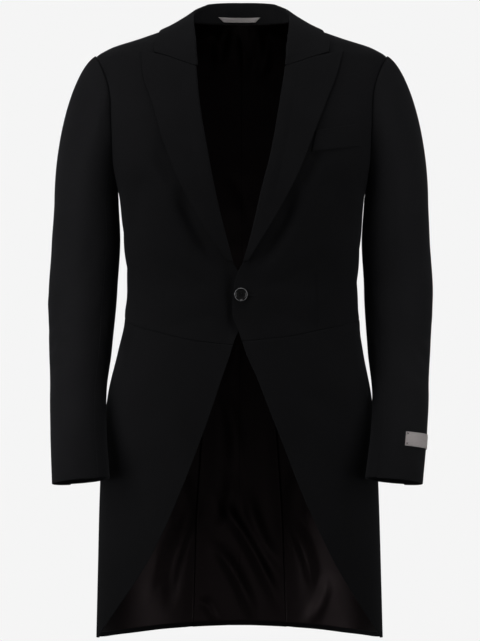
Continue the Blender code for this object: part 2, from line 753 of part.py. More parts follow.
def ring_point(side, turn, height):
    """Points on the sleeve below its head; turn is 0 outside, a quarter turn at the front."""
    centre_x = ring("left_x" if side > 0 else "right_x", height)
    half_width = ring("half_width", height)
    half_depth = ring("half_depth", height)
    x = centre_x + half_width * np.cos(turn)
    y = ring("centre_y", height) - half_depth * np.sin(turn)
    rise = ring("front_rise", height) * np.sin(turn) - ring("inner_rise", height) * np.cos(turn)
    return np.stack(np.broadcast_arrays(side * x, y, height + rise), axis=-1)


def head_point(side, turn, share):
    """Points on the sleeve's head, from the armhole (0) to the upper arm (1)."""
    turn, share = np.broadcast_arrays(np.asarray(turn, float), np.asarray(share, float))
    middle = (ARMHOLE_TOP + ARMHOLE_FOOT) / 2
    half = (ARMHOLE_TOP - ARMHOLE_FOOT) / 2
    height = middle + half * np.cos(turn)
    front = np.sin(turn) > 0
    angle = np.where(front, math.pi / 2 - armhole_angle(height, ARMHOLE_FRONT, "front"),
                     math.pi / 2 + armhole_angle(height, ARMHOLE_BACK, "back"))
    out = normal(side, angle, height)
    level = unit(out * np.array([1.0, 1.0, 0.0]))
    low = ((1 - np.cos(turn)) / 2)[..., None] ** 3
    out_share = HEAD_OUT[0] + (HEAD_OUT[1] - HEAD_OUT[0]) * low
    down_share = HEAD_DOWN[0] + (HEAD_DOWN[1] - HEAD_DOWN[0]) * low
    start_way = unit(level * out_share - np.array([0, 0, 1.0]) * down_share)
    slant = np.sqrt(np.clip(1 - np.sum(start_way * out, axis=-1) ** 2, 0, 1))
    start = on_body(side, angle, height, SEAM_GAP + CLOTH / 2 * slant)
    end = ring_point(side, turn, RINGS[-1, 0])
    reach = np.linalg.norm(end - start, axis=-1, keepdims=True)
    leave = start + start_way * reach * HEAD_LEAVE
    arrive = end + np.array([0, 0, 1.0]) * reach * HEAD_ARRIVE
    s = share[..., None]
    return (1 - s) ** 3 * start + 3 * (1 - s) ** 2 * s * leave + 3 * (1 - s) * s * s * arrive + s ** 3 * end


def sleeve_point(side, turn, place):
    """Points on the sleeve: place 0 to 1 is the head, 1 to 2 runs down to the cuff."""
    turn, place = np.broadcast_arrays(np.asarray(turn, float), np.asarray(place, float))
    top = RINGS[-1, 0]
    cuff = RINGS[0, 0]
    below = ring_point(side, turn, top + (cuff - top) * np.clip(place - 1, 0, 1))
    above = head_point(side, turn, np.clip(place, 0, 1))
    return np.where((place <= 1)[..., None], above, below)


def sleeve_place(height):
    """The place down the sleeve of a height below its head."""
    top = RINGS[-1, 0]
    cuff = RINGS[0, 0]
    return 1 + (np.asarray(height, float) - top) / (cuff - top)


def on_sleeve(side, turn, place, lift):
    """Points lifted off the middle of the sleeve's wall."""
    step = 0.004
    low = np.clip(place + step, 0, 2)
    high = np.clip(place - step, 0, 2)
    along = sleeve_point(side, turn + 0.01, place) - sleeve_point(side, turn - 0.01, place)
    down = sleeve_point(side, turn, low) - sleeve_point(side, turn, high)
    out = unit(np.cross(along, down)) * side
    return sleeve_point(side, turn, place) + out * lift


def make_sleeve_half(name, side, first, last, columns):
    """One of the sleeve's two pieces, between two seams given in degrees."""
    places = np.concatenate([HEAD_SHARES, sleeve_place(RING_HEIGHTS)])
    heights = np.concatenate([ARMHOLE_TOP + (RINGS[-1, 0] - ARMHOLE_TOP) * np.array(HEAD_SHARES), RING_HEIGHTS])
    gap = math.radians(SLEEVE_SEAM_TURN)
    turns = []
    for height in heights:
        start = math.radians(first(height)) + gap
        end = math.radians(last(height)) - gap
        turns.append(np.linspace(start, end, columns + 1))
    turns = np.array(turns)
    down = np.repeat(places[:, None], columns + 1, axis=1)
    outer = on_sleeve(side, turns, down, CLOTH / 2)
    inner = on_sleeve(side, turns, down, -CLOTH / 2)
    make_wall(name + SIDE_NAMES[side], outer, inner, "wool")


def make_sleeve(side):
    """Two-piece sleeve, open at the cuff."""
    make_sleeve_half("top_sleeve_", side, lambda height: float(read(SLEEVE_BACK, VALUE, height)) - 360,
                     lambda height: FRONT_SEAM_ANGLE, TOP_SLEEVE_COLUMNS)
    make_sleeve_half("under_sleeve_", side, lambda height: FRONT_SEAM_ANGLE,
                     lambda height: float(read(SLEEVE_BACK, VALUE, height)), UNDER_SLEEVE_COLUMNS)


def make_chest_welt():
    """Slanted welt of the chest pocket, lying on the left forepart."""
    down = np.linspace(0, 1, WELT_ROWS + 1)[:, None, None]
    across = np.linspace(0, 1, WELT_COLUMNS + 1)[None, :, None]
    top = np.array(WELT_TOP[0]) + (np.array(WELT_TOP[1]) - np.array(WELT_TOP[0])) * across
    foot = np.array(WELT_FOOT[0]) + (np.array(WELT_FOOT[1]) - np.array(WELT_FOOT[0])) * across
    place = top + (foot - top) * down
    angle = angle_at(LEFT, place[..., 0], place[..., 1])
    outer = on_body(LEFT, angle, place[..., 1], WELT_LIFT + WELT_CLOTH)
    inner = on_body(LEFT, angle, place[..., 1], WELT_LIFT)
    make_wall("chest_welt", outer, inner, "wool")


def make_button(name, size, seat, out):
    """Dished button with a raised rim, seated along a direction."""
    radius, thickness, segments = size
    bm = bmesh.new()
    out = out / np.linalg.norm(out)
    side_way = unit(np.cross(out, np.array([0, 0, 1.0])))
    up_way = np.cross(side_way, out)
    rings = []
    for share, rise in BUTTON_OUTLINE:
        loop = []
        for k in range(segments):
            turn = 2 * math.pi * k / segments
            spoke = side_way * math.cos(turn) + up_way * math.sin(turn)
            loop.append(bm.verts.new((seat + spoke * radius * share + out * thickness * rise) * MM))
        rings.append(loop)
    for low, high in zip(rings[:-1], rings[1:]):
        for k in range(segments):
            bm.faces.new((low[k], low[(k + 1) % segments], high[(k + 1) % segments], high[k]))
    bm.faces.new(rings[0])
    bm.faces.new(rings[-1])
    make_object(name, bm, "horn")


def make_front_button():
    """The one button of the front."""
    x, height = FRONT_BUTTON_PLACE
    angle = angle_at(LEFT, np.asarray(x), height)
    lift = float(lap_lift(LEFT, x, height)) + BUTTON_SEAT
    make_button("front_button", FRONT_BUTTON, on_body(LEFT, angle, height, lift), normal(LEFT, angle, height))


def make_waist_button(side):
    """Button at the top of a side pleat."""
    height = float(read(WAIST, VALUE, WAIST_BUTTON_AT)) - WAIST_BUTTON_DROP
    angle = side_back_seam(side, np.asarray(height)) + math.radians(WAIST_BUTTON_TURN)
    seat = on_body(side, angle, np.asarray(height), PLEAT_LIFT + 2 * BUTTON_SEAT)
    make_button("waist_button_" + SIDE_NAMES[side], WAIST_BUTTON, seat, normal(side, angle, np.asarray(height)))


def make_cuff_buttons(side):
    """Buttons beside the back seam above the cuff."""
    for number, height in enumerate(CUFF_BUTTON_HEIGHTS, start=1):
        turn = np.asarray(math.radians(float(read(SLEEVE_BACK, VALUE, height)) - 360 + CUFF_BUTTON_TURN))
        place = sleeve_place(height)
        seat = on_sleeve(side, turn, place, CLOTH / 2 + BUTTON_SEAT)
        out = seat - on_sleeve(side, turn, place, 0.0)
        make_button("cuff_button_%s_%d" % (SIDE_NAMES[side], number), CUFF_BUTTON, seat, out)


def stand_depth(x, height):
    """y of the middle of the collar's stand near the centre back."""
    stations = np.linspace(0, COLLAR_STATIONS[-1][0], COLLAR_HALF_STEPS + 1)[:5]
    lines = np.array([collar_line(LEFT, station) for station in stations])[:, :4]
    depth = np.empty(np.broadcast_shapes(x.shape, height.shape))
    for index in np.ndindex(depth.shape):
        level = float(np.broadcast_to(height, depth.shape)[index])
        across = [np.interp(level, line[:, 2], line[:, 0]) for line in lines]
        deep = [np.interp(level, line[:, 2], line[:, 1]) for line in lines]
        depth[index] = np.interp(float(np.broadcast_to(x, depth.shape)[index]), across, deep)
    return depth


def make_neck_label():
    """Blank label on the inside of the collar's stand."""
    width = np.array([NECK_LABEL_FOOT[0], NECK_LABEL_TOP[0]])
    heights = np.array([NECK_LABEL_FOOT[1], NECK_LABEL_TOP[1]])
    shares = np.linspace(-1, 1, LABEL_COLUMNS + 1)
    x = NECK_LABEL_SHIFT - width[:, None] * shares[None, :]
    y = stand_depth(np.abs(x), heights[:, None]) - COLLAR_CLOTH / 2 - 2 * SEAM_GAP
    outer = np.stack(np.broadcast_arrays(x, y, heights[:, None]), axis=-1)
    inner = outer - np.array([0, LABEL_CLOTH, 0])
    make_wall("neck_label", outer, inner, "label")


def make_sleeve_label():
    """Blank label sewn round the outer side of the left cuff."""
    first, last = SLEEVE_LABEL_ANGLES
    top, foot = SLEEVE_LABEL_HEIGHTS
    turns = np.radians(np.linspace(first, last, LABEL_COLUMNS + 1))[None, :].repeat(LABEL_ROWS + 1, axis=0)
    places = sleeve_place(np.linspace(top, foot, LABEL_ROWS + 1))[:, None].repeat(LABEL_COLUMNS + 1, axis=1)
    base = CLOTH / 2 + LABEL_SEAT
    outer = on_sleeve(LEFT, turns, places, base + LABEL_CLOTH)
    inner = on_sleeve(LEFT, turns, places, base)
    make_wall("sleeve_label", outer, inner, "label")


def main():
    """Clear the scene and make every piece of the coat."""
    for old in list(bpy.data.objects):
        bpy.data.objects.remove(old, do_unlink=True)
    coat = bpy.data.objects.new("coat", None)
    bpy.context.scene.collection.objects.link(coat)
    for side in (LEFT, RIGHT):
        make_forepart(side)
        make_side_body(side)
        make_back(side)
        make_skirt(side)
        make_back_lining(side)
        make_skirt_lining(side)
        make_lapel(side)
        make_sleeve(side)
        make_waist_button(side)
        make_cuff_buttons(side)
    make_vent_underlap()
    make_collar()
    make_chest_welt()
    make_front_button()
    make_neck_label()
    make_sleeve_label()


main()
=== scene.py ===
"""Looks of the morning coat: fine cloth shells with their folds, seams, buttons, labels, light and camera.

Tables are in millimetres. +X is the wearer's left, -Y is the front, +Z is up.
A place on the coat's body is a side, an angle round it (0 centre front, half a turn centre back),
a height and a lift off the surface. Each shell follows the form of the solid that it replaces.
"""
import math

import bmesh
import bpy
import numpy as np
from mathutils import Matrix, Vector


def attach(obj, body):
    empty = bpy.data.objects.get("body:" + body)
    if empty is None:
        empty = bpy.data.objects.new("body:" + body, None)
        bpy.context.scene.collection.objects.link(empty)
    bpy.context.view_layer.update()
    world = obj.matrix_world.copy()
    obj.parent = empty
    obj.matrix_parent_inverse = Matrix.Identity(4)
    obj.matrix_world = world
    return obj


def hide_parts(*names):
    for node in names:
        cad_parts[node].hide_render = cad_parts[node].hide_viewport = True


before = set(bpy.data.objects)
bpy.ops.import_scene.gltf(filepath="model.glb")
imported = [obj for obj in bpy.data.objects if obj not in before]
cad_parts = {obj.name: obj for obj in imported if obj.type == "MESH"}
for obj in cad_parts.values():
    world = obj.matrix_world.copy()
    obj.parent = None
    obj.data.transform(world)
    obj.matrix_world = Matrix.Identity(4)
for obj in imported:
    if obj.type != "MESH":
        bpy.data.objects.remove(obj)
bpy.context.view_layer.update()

MM = 0.001
UP = np.array([0, 0, 1.0])
LEFT = 1
RIGHT = -1
SIDE_NAMES = {LEFT: "left", RIGHT: "right"}

# Names of the materials, which are also the names of the slots, and the materials once they are made
WOOL = "black_wool"
SATIN = "satin_lining"
HORN = "horn_button"
# The rim's light grey is a painted highlight: the lights' reflection on polished horn, put into its colour
PAINTED_HIGHLIGHT = "painted_rim_highlight"
RIBBON = "woven_label"
THREAD = "black_thread"
MATERIALS = {}

# Cloth thicknesses and the depth of the lining behind the cloth's face
CLOTH = 1.8
LINING = 0.8
COLLAR_CLOTH = 2.2
LINING_DEPTH = 2.5
RIM = 0.3

# The body's horizontal sections, from the neck down to the hem
SECTION_COLUMNS = ("height", "half_width", "front", "back", "fullness", "centre")
BODY_SECTIONS = (
    (30, 66, 34, 76, 2.0, 0),
    (12, 80, 41, 85, 2.0, 0),
    (0, 116, 48, 90, 2.0, 0),
    (-15, 159, 58, 96, 2.05, 0),
    (-31, 206, 67, 102, 2.15, 0),
    (-46, 226, 76, 107, 2.3, 0),
    (-65, 226, 84, 113, 2.4, 0),
    (-100, 222, 97, 122, 2.5, 0),
    (-154, 214, 113, 131, 2.6, 0),
    (-210, 203, 123, 133, 2.6, 0),
    (-262, 189, 126, 129, 2.5, 0.5),
    (-325, 184, 123, 116, 2.4, 1.0),
    (-403, 178.5, 114, 99, 2.35, 1.5),
    (-450, 181, 114, 101, 2.3, 0.5),
    (-500, 190, 119, 111, 2.3, -1.5),
    (-560, 202, 125, 122, 2.25, -3.0),
    (-640, 211, 128, 130, 2.2, -3.5),
    (-720, 216, 129, 135, 2.2, -3.5),
    (-830, 219, 129, 139, 2.2, -3.2),
    (-950, 222, 128, 143, 2.2, -3.0),
)

# The roll lines of the lapels and, below the button, the edges of the fronts and the cutaway
EDGE_COLUMNS = ("height", "left_x", "right_x")
FRONT_EDGES = (
    (12, 75.2, -75.2),
    (0, 74.0, -74.3),
    (-60, 66.4, -68.7),
    (-120, 57.2, -63.0),
    (-190, 45.2, -51.5),
    (-260, 28.0, -38.3),
    (-320, 14.2, -23.8),
    (-350, 5.5, -15.8),
    (-366, 0.5, -11.5),
    (-376, -5.0, -5.0),
    (-395, -10.5, 6.0),
    (-418, -12.8, 11.5),
    (-440, -13.8, 9.0),
    (-455, -9.0, 1.0),
    (-467, -4.5, -4.5),
    (-482, 0.7, -11.3),
    (-500, 6.7, -16.5),
    (-536, 23.0, -29.0),
    (-590, 44.0, -47.0),
    (-643, 64.8, -66.4),
    (-697, 85.7, -87.3),
    (-751, 109.0, -110.0),
    (-806, 134.9, -137.2),
    (-844, 156.4, -160.2),
    (-882, 180.7, -186.0),
    (-905, 195.5, -201.5),
    (-923, 207.0, -213.0),
    (-934, 213.5, -219.0),
)

# The outer edge of each lapel, from the peak's tip to the foot of the V, in the same columns
LAPEL_EDGES = (
    (-41, 155.0, -154.0),
    (-80, 143.5, -148.9),
    (-125, 125.7, -133.0),
    (-173, 106.9, -119.3),
    (-220, 88.5, -101.4),
    (-266, 66.0, -79.8),
    (-310, 41.0, -55.0),
    (-345, 19.8, -32.5),
    (-366, 7.2, -18.0),
)

# Tables of two columns: the first is read by, the second is the value
VALUE = 1

# Lines that go round the body: degrees round it, height
WAIST_SEAM = (
    (0, -485), (20, -477), (40, -466), (60, -457), (90, -447), (120, -440), (150, -434), (180, -432),
)
HEM = ((0, -932), (60, -933), (90, -941), (112, -948), (130, -949), (150, -946.5), (180, -943))
WAIST_LEAN = 3.0
LEAN_FADE = (20, 90)

# Seams that run down the body: height, then degrees round it for the side seam and x for the back one
SIDE_SEAM = ((-250, 90), (-340, 94), (-450, 97))
SIDE_BACK_SEAM = (
    (-150, 206), (-165, 186), (-190, 160), (-230, 126), (-290, 88), (-360, 58),
    (-432, 43), (-520, 50), (-650, 62), (-800, 71), (-950, 76),
)
SIDE_BODY_TOP = -155.0

# The armhole, an oval in side view
ARMHOLE_TOP = -42.0
ARMHOLE_FOOT = -250.0
ARMHOLE_MIDDLE = (ARMHOLE_TOP + ARMHOLE_FOOT) / 2
ARMHOLE_HALF = (ARMHOLE_TOP - ARMHOLE_FOOT) / 2
ARMHOLE_FRONT = 58.0
ARMHOLE_BACK = 62.0

# The neck's edge
NECK_HEIGHT = 12.0
BACK_NECK_RISE = 6.0
NECK_RISE_DEPTH = 3.0

# How the left front lies over the right one
LAP_LIFT = 2.5
LAP_FLAT = 24.0
LAP_END = 75.0
LAP_RISE = (-325.0, -370.0)
LAP_FALL = (-480.0, -545.0)
FRONT_ONLY = 1.2

# The side pleat, and the vent's underlap with its columns and the lifts of its two faces
PLEAT_LAP = 10.0
PLEAT_LIFT = 2.3
PLEAT_RAMP = (14.0, 3.0)
VENT_TOP_SHARE = 0.19
VENT_UNDER = 28.0
VENT_OVER = 14.0
VENT_MARGIN = 3.5
VENT_COLUMNS = 12
VENT_LIFTS = (0.3, -0.9)

# Lapels
TUCK = 4.8
TUCK_FADE = (-330.0, -372.0)
GORGE_HEIGHT = -67.0
GORGE_BOW = 3.6
PEAK_HEIGHT = -41.0
LAPEL_FOOT = -362.0
LAPEL_OUTER = 3.3
LAPEL_INNER = 0.9
LAPEL_STAND_OFF = 8.0
LAPEL_BELLY = 1.3
BELLY_REACH = 22.0
NOSE_REST = 0.6
NOSE_WIDTH = (0.4, 4.2)
NOSE_FADE = (-312.0, -345.0)

# Points of a lapel: degrees round its fold, points from the fold to the middle, and the step between
# rows. The wide step is wider than any lapel and leaves one point in the middle.
NOSE_TURNS = (4, 14, 26, 40, 56, 72, 90)
ROLL_POINTS = 30
LAPEL_STEP = 3.0
WIDE_STEP = 100.0
LAPEL_EDGE_ROUND = (1.3, (LAPEL_OUTER - LAPEL_INNER - RIM) / 2)

# The collar's stations, from the centre back to the gorge. The neck place runs from 0 at the
# centre back over 1 at the neck point to 2 at the gorge; the edge is an angle and a height.
STATION_COLUMNS = ("station", "crease_x", "crease_y", "crease_z", "neck_place", "edge_angle", "edge_height")
COLLAR_STATIONS = (
    (0, 0.0, 85.0, 53.0, 0.00, 180.0, 9.0),
    (1, 28.0, 83.0, 52.5, 0.24, 160.0, 7.5),
    (2, 48.0, 73.0, 49.5, 0.49, 140.0, 5.5),
    (3, 63.5, 50.0, 41.0, 0.73, 117.0, 3.0),
    (4, 72.5, 22.0, 32.0, 0.94, 97.0, 1.4),
    (5, 75.2, -3.0, 22.5, 1.06, 82.0, -0.6),
    (6, 75.0, -23.0, 12.0, 1.20, 68.0, -6.5),
    (7, 73.9, -40.0, 0.0, 1.38, 54.0, -14.0),
    (8, 71.7, -59.5, -20.0, 1.55, 43.0, -25.5),
    (9, 69.4, -75.0, -43.0, 1.78, 37.0, -35.0),
    (10, 67.3, -86.0, -66.0, 2.00, 33.7, -43.0),
)
LAST_STATION = COLLAR_STATIONS[-1][0]
COLLAR_REACH = 246.0
COLLAR_STEPS = 84
GORGE_STATION = LAST_STATION - LAST_STATION / 14
SECTION_POINTS = 44
COLLAR_CLEAR = 2.1
COLLAR_SPLIT = 1.4
GORGE_SHARE = 0.74
GORGE_START = 0.05
GORGE_GAP = 0.45
GORGE_CLEAR = 2.2
NECK_BOW = 1.25
STAND_SHARES = (1.0, 0.66, 0.33, 0.06)
FALL_SHARES = (0.04, 0.25, 0.5, 0.75, 1.0)
STAND_CLEAR = 1.5
COLLAR_EDGE_ROUND = (1.2, COLLAR_CLOTH / 2 - RIM / 2)
GORGE_ROUND = (0.8, 0.45)

# The sleeves' rings below the head, from the upper arm to the cuff
RING_COLUMNS = (
    "height", "left_x", "right_x", "centre_y", "half_width", "half_depth", "front_rise", "inner_rise",
)
SLEEVE_RINGS = (
    (-270, 239.5, 240.0, 0, 48.8, 65, 0, 0),
    (-326, 239.0, 240.5, 3, 51.6, 62, 0, 0),
    (-403, 243.3, 245.7, 8, 52.0, 57, 0, 0),
    (-496, 244.0, 249.4, 0, 47.6, 52, 2, 0),
    (-558, 244.0, 250.5, -28, 42.6, 48, 4, 1),
    (-620, 239.0, 247.5, -64, 41.8, 45, 6, 2),
    (-692, 228.5, 241.0, -102, 42.5, 42, 7, 4),
)
HEAD_LENGTH = 120.0
HEAD_LEAVE = 0.15
HEAD_ARRIVE = 0.46
HEAD_OUT = (0.87, 0.10)
HEAD_DOWN = (0.5, 1.0)
SEAM_GAP = 0.3
ALLOWANCE = ((5.0, -2.1), (2.5, -2.1), (0.4, -2.0), (-0.4, -1.2))
ALLOWANCE_CLOTH = 0.8
FRONT_SEAM_ANGLE = 130.0
SLEEVE_BACK_SEAM = ((-42, 232), (-270, 250), (-500, 272), (-692, 296))
SLEEVE_RADIUS = 48.0
SLEEVE_STEP = 4.0
UNDER_SLEEVE_RISE = 1.2

# Welt pocket on the left chest: corners as x and height
WELT_TOP = ((111.0, -166.0), (176.0, -153.0))
WELT_FOOT = ((104.5, -198.5), (181.0, -187.0))
WELT_LIFT = 0.3
WELT_CLOTH = 1.6
WELT_SIZE = (70.0, 33.0)
WELT_STEP = 2.5
WELT_ROUND = (1.4, WELT_CLOTH - RIM)

# Buttons: radius and thickness of each kind, and their places
FRONT_BUTTON = (10.0, 4.0)
WAIST_BUTTON = (9.0, 3.6)
CUFF_BUTTON = (7.0, 3.0)
FRONT_BUTTON_PLACE = (-0.8, -411.5)
WAIST_BUTTON_AT = 165.0
WAIST_BUTTON_TURN = 1.0
WAIST_BUTTON_DROP = 9.0
CUFF_BUTTON_HEIGHTS = (-658, -643, -628, -613)
CUFF_BUTTON_TURN = 11.0
BUTTON_SEAT = 0.7

# Outline of a button from its back to its middle, as shares of radius and thickness
BUTTON_OUTLINE = (
    (0.02, 0.06), (0.30, 0.05), (0.58, 0.03), (0.72, 0.04), (0.86, 0.12), (0.95, 0.24), (0.99, 0.38),
    (1.0, 0.54), (0.995, 0.72), (0.975, 0.87), (0.94, 0.965), (0.90, 1.0), (0.86, 0.975), (0.83, 0.90),
    (0.80, 0.78), (0.76, 0.66), (0.70, 0.57), (0.60, 0.51), (0.46, 0.48), (0.25, 0.47), (0.02, 0.47),
)
BUTTON_SIDES = 56
HOLE_PLACE = 0.19
HOLE_RADIUS = 0.085
HOLE_SIDES = 14
# Share of the radius past which a button's upper faces get the painted rim highlight
PAINTED_RIM_SHARE = 0.885
SHARP_ANGLE = 50

# A button's thread: its cross as corners and extra rise, half the gap of a pair, and the neck under it
THREAD_CROSS = (((-1, -1), (1, 1), 0.0), ((-1, 1), (1, -1), 0.35))
THREAD_OFFSETS = (-0.22, 0.22)
THREAD_RADIUS = 0.24
THREAD_POINTS = 15
THREAD_SIDES = 8
THREAD_NECK = ((0.1, -1.2), (1.5, -1.0), (1.3, 0.0), (1.5, 0.45), (0.1, 0.5))
THREAD_NECK_SIDES = 16

# Buttonholes: length, half width, thread radius, lift and how far the hole starts before the button
FRONT_HOLE = (23.0, 0.85, 0.5, 0.12, 2.0)
CUFF_HOLE = (17.0, 0.7, 0.4, 0.1, 1.5)
FRONT_HOLE_SLOPE = 0.04

# Blank labels: corners, angles and heights, cloth, and their grids of points
NECK_LABEL_TOP = (-33.2, 30.2)
NECK_LABEL_FOOT = (-25.2, 22.4)
NECK_LABEL_SHIFT = -3.0
SLEEVE_LABEL_ANGLES = (-8.0, 80.0)
SLEEVE_LABEL_HEIGHTS = (-622.5, -643.0)
LABEL_CLOTH = 0.7
LABEL_SEAT = 0.5
LABEL_BUCKLE = 0.35
NECK_LABEL_GRID = (9, 41)
SLEEVE_LABEL_GRID = (15, 61)
STAND_STATIONS = (0, 2.8, 12)

# The sleeve label's stitches: inset and half size in degrees and mm, lift of the middle, thread radius
STITCH_INSET = (4, 3.0)
STITCH_HALF = (2.2, 1.6)
STITCH_LIFT = 0.45
STITCH_POINTS = 7
STITCH_RADIUS = 0.32

# Creases: across and height of the start, the same of the end, bow, lift (a trough's is negative), width
FRONT_CREASES = (
    (80, -262, 26, -366, 5, -9.0, 13),
    (-94, -258, -38, -368, -5, -9.0, 14),
    (116, -196, 84, -250, 3, -3.6, 10),
    (-129, -194, -98, -248, -3, -3.6, 10),
    (20, -404, 128, -352, -7, -1.1, 9),
    (22, -420, 150, -408, -5, 0.9, 11),
    (26, -436, 118, -470, 6, -0.8, 10),
    (-30, -402, -138, -344, 8, -1.0, 10),
    (-34, -424, -150, -414, 4, 0.8, 12),
    (-32, -440, -122, -474, -5, -0.9, 9),
    (132, -230, 158, -330, 7, -1.5, 15),
    (-138, -222, -160, -322, -8, -1.4, 14),
    (96, -560, 166, -604, 9, -1.7, 13),
    (84, -596, 158, -622, 6, 1.1, 12),
    (-104, -548, -170, -576, -8, -1.2, 13),
    (-88, -690, -128, -860, 7, 1.5, 19),
    (118, -700, 152, -872, -8, 1.6, 20),
    (-150, -640, -172, -800, -6, -1.3, 17),
    (170, -650, 184, -830, 6, -1.3, 18),
    (110, -90, 168, -118, 5, -0.8, 13),
    (-118, -96, -170, -126, -6, -0.8, 12),
)
SIDE_CREASES = (
    (-40, -300, 46, -372, 8, -1.5, 13),
    (-52, -352, 40, -404, 6, -1.7, 12),
    (-30, -424, 58, -452, -5, 1.2, 11),
    (10, -520, -24, -700, 9, 1.6, 18),
    (48, -540, 62, -820, -8, -1.8, 19),
    (-62, -600, -50, -840, 8, -1.4, 17),
)
BACK_CREASES = (
    (-96, -120, -52, -214, 9, -1.5, 17),
    (102, -112, 58, -220, -10, -1.6, 16),
    (-30, -330, -92, -300, 5, -1.3, 10),
    (34, -346, 98, -310, -6, -1.4, 11),
    (-26, -398, -110, -384, 5, 1.3, 11),
    (28, -410, 104, -396, -4, 1.1, 10),
    (-36, -520, -50, -820, 9, 1.5, 17),
    (40, -560, 58, -880, -8, 1.4, 18),
    (-110, -530, -132, -850, -9, -1.7, 18),
    (112, -500, 128, -820, 8, -1.6, 19),
    (-12, -30, -58, -62, 6, -1.0, 12),
    (16, -34, 66, -70, -5, -0.9, 11),
)

# The front darts, as narrow troughs
DARTS = (
    (114, -384, 116.5, -458, 0, -1.5, 1.7),
    (-114, -392, -117, -456, 0, -0.8, 1.9),
)

# How far the left side's creases lie from the right one's, where creases come in round the body, and
# how they fade along their length and below the sleeve's head
SIDE_SHIFT = 14.0
ROUND_FADE = (0.05, 0.45)
START_FADE = (-0.15, 0.3)
END_FADE = (0.65, 1.15)
HEAD_FADE = (1.0, 1.15)

# How the right front dips beside the edge that laps over it
UNDERLAP_DIP = ((-18, -372, -13, -484, 2, -6.0, 12),)

# Creases of the sleeves, across in degrees round the sleeve; 90 is the front and -90 the back
SLEEVE_CREASES = (
    (72, -452, 14, -486, 7, -1.9, 10),
    (88, -480, 30, -520, -6, -2.2, 9),
    (78, -516, 22, -548, 6, -1.5, 9),
    (64, -430, 8, -452, -5, 1.3, 12),
    (118, -330, 84, -420, 8, -1.6, 13),
    (20, -320, 8, -440, -7, 1.1, 17),
    (-30, -300, -46, -420, 8, -1.3, 15),
    (-64, -470, -20, -500, 6, -1.3, 10),
    (-70, -560, -40, -640, -7, 1.1, 13),
    (150, -420, 120, -492, 6, -2.0, 11),
    (54, -580, 40, -668, 6, -1.0, 13),
    (-120, -440, -150, -500, 5, -1.8, 11),
)
SLEEVE_SHIFTS = {LEFT: (0.0, 0.0), RIGHT: (9.0, -17.0)}

# Folds of the lining, towards the hollow
LINING_CREASES = (
    (-34, -742, 58, -905, 7, 5.2, 10),
    (8, -730, 66, -850, -8, 3.6, 12),
    (-42, -812, 22, -934, 6, 4.4, 11),
    (-16, -700, -36, -800, 6, 2.4, 13),
    (-78, -752, -120, -902, -8, 5.0, 12),
    (-116, -790, -146, -900, 6, 2.6, 10),
    (84, -776, 116, -884, 7, 4.8, 11),
    (140, -860, 110, -938, 6, 3.0, 10),
    (-66, -900, -40, -942, 4, 2.6, 9),
    (96, -690, 84, -780, -6, 2.2, 14),
    (-108, -690, -88, -780, 7, 2.2, 14),
    (-48, 14, -38, -50, 5, 3.4, 8),
    (-22, 14, -27, -36, -4, 2.4, 7),
    (-3, 15, 4, -58, 4, 3.2, 8),
    (19, 14, 23, -34, -4, 2.3, 7),
    (40, 14, 29, -60, 5, 3.4, 8),
    (-20, -210, 24, -330, 10, 2.4, 15),
    (30, -420, -18, -560, -11, 2.8, 15),
    (-34, -560, -10, -690, 9, 2.6, 14),
)
LINING_EASE = 1.0

# Levels where the linings start and end, and how far behind the cut edge the skirt's lining starts
BACK_LINING_TOP = -0.01
SKIRT_LINING_TOP = 2.05
LINING_FOOT = 2.985
SKIRT_LINING_START = 24.0

# Close steps beside every edge, in mm, and how seams and folded edges are rounded: reach, depth
EDGE_STEPS = (0.0, 0.3, 0.7, 1.2, 1.9, 2.8)
SEAM_ROUND = (2.4, 1.3)
SLEEVE_SEAM_ROUND = (1.3, 0.45)
FOLD_ROUND = (0.9, 0.75)
SQUARE = (None, None, None, None)

# Points of the panels: the usual step between rows, the rounds that settle an edge, the steps that
# measure a row, columns of each piece, lengths between whole levels, and rows above the armhole's foot
STEP = 3.4
ROUNDS = 16
FINE_STEPS = 220
COLUMNS = {
    "forepart": 128, "side_body": 40, "back": 50, "skirt": 96,
    "lining_back": 44, "lining_skirt": 60, "top_sleeve": 64, "under_sleeve": 36,
}
LEVEL_LENGTHS = {-1: NECK_HEIGHT - ARMHOLE_FOOT, 0: NECK_HEIGHT - ARMHOLE_FOOT, 1: 200.0, 2: 490.0}
ARMHOLE_ROWS = (-7.0, -5.0, -4.0, -3.0, -2.0, -1.2, -0.5)

# Colours, each from a dark to a light tone, and the studio's pale grey
WOOL_TONES = ((0.0043, 0.0043, 0.0050), (0.0106, 0.0105, 0.0120))
SATIN_TONES = ((0.0006, 0.0002, 0.0003), (0.0020, 0.0007, 0.0010))
HORN_TONES = ((0.0025, 0.0025, 0.003), (0.010, 0.0095, 0.0095))
# The rim's light grey is a painted highlight, not the horn's own colour
PAINTED_HIGHLIGHT_TONES = ((0.22, 0.22, 0.23), (0.46, 0.46, 0.47))
RIBBON_TONES = ((0.44, 0.405, 0.40), (0.64, 0.59, 0.585))
THREAD_TONES = ((0.005, 0.005, 0.006), (0.022, 0.022, 0.024))
PALE = 0.913

# Camera and floor, in metres
CAMERA_PLACE = (-0.0023, -3.2, -0.4503)
CAMERA_LENS = 115.95
FLOOR_HEIGHT = -1.34
LIT_RADIUS = 2.4
FLOOR_OUTLINE = ((0.001, 0.0), (1.0, 0.0), (2.0, 0.0), (3.2, 0.0), (4.2, 0.0))
WALL_OUTLINE = ((4.2, 0.0), (4.8, 0.08), (5.2, 0.35), (5.4, 0.8), (5.4, 7.0))
STAGE_SIDES = 64

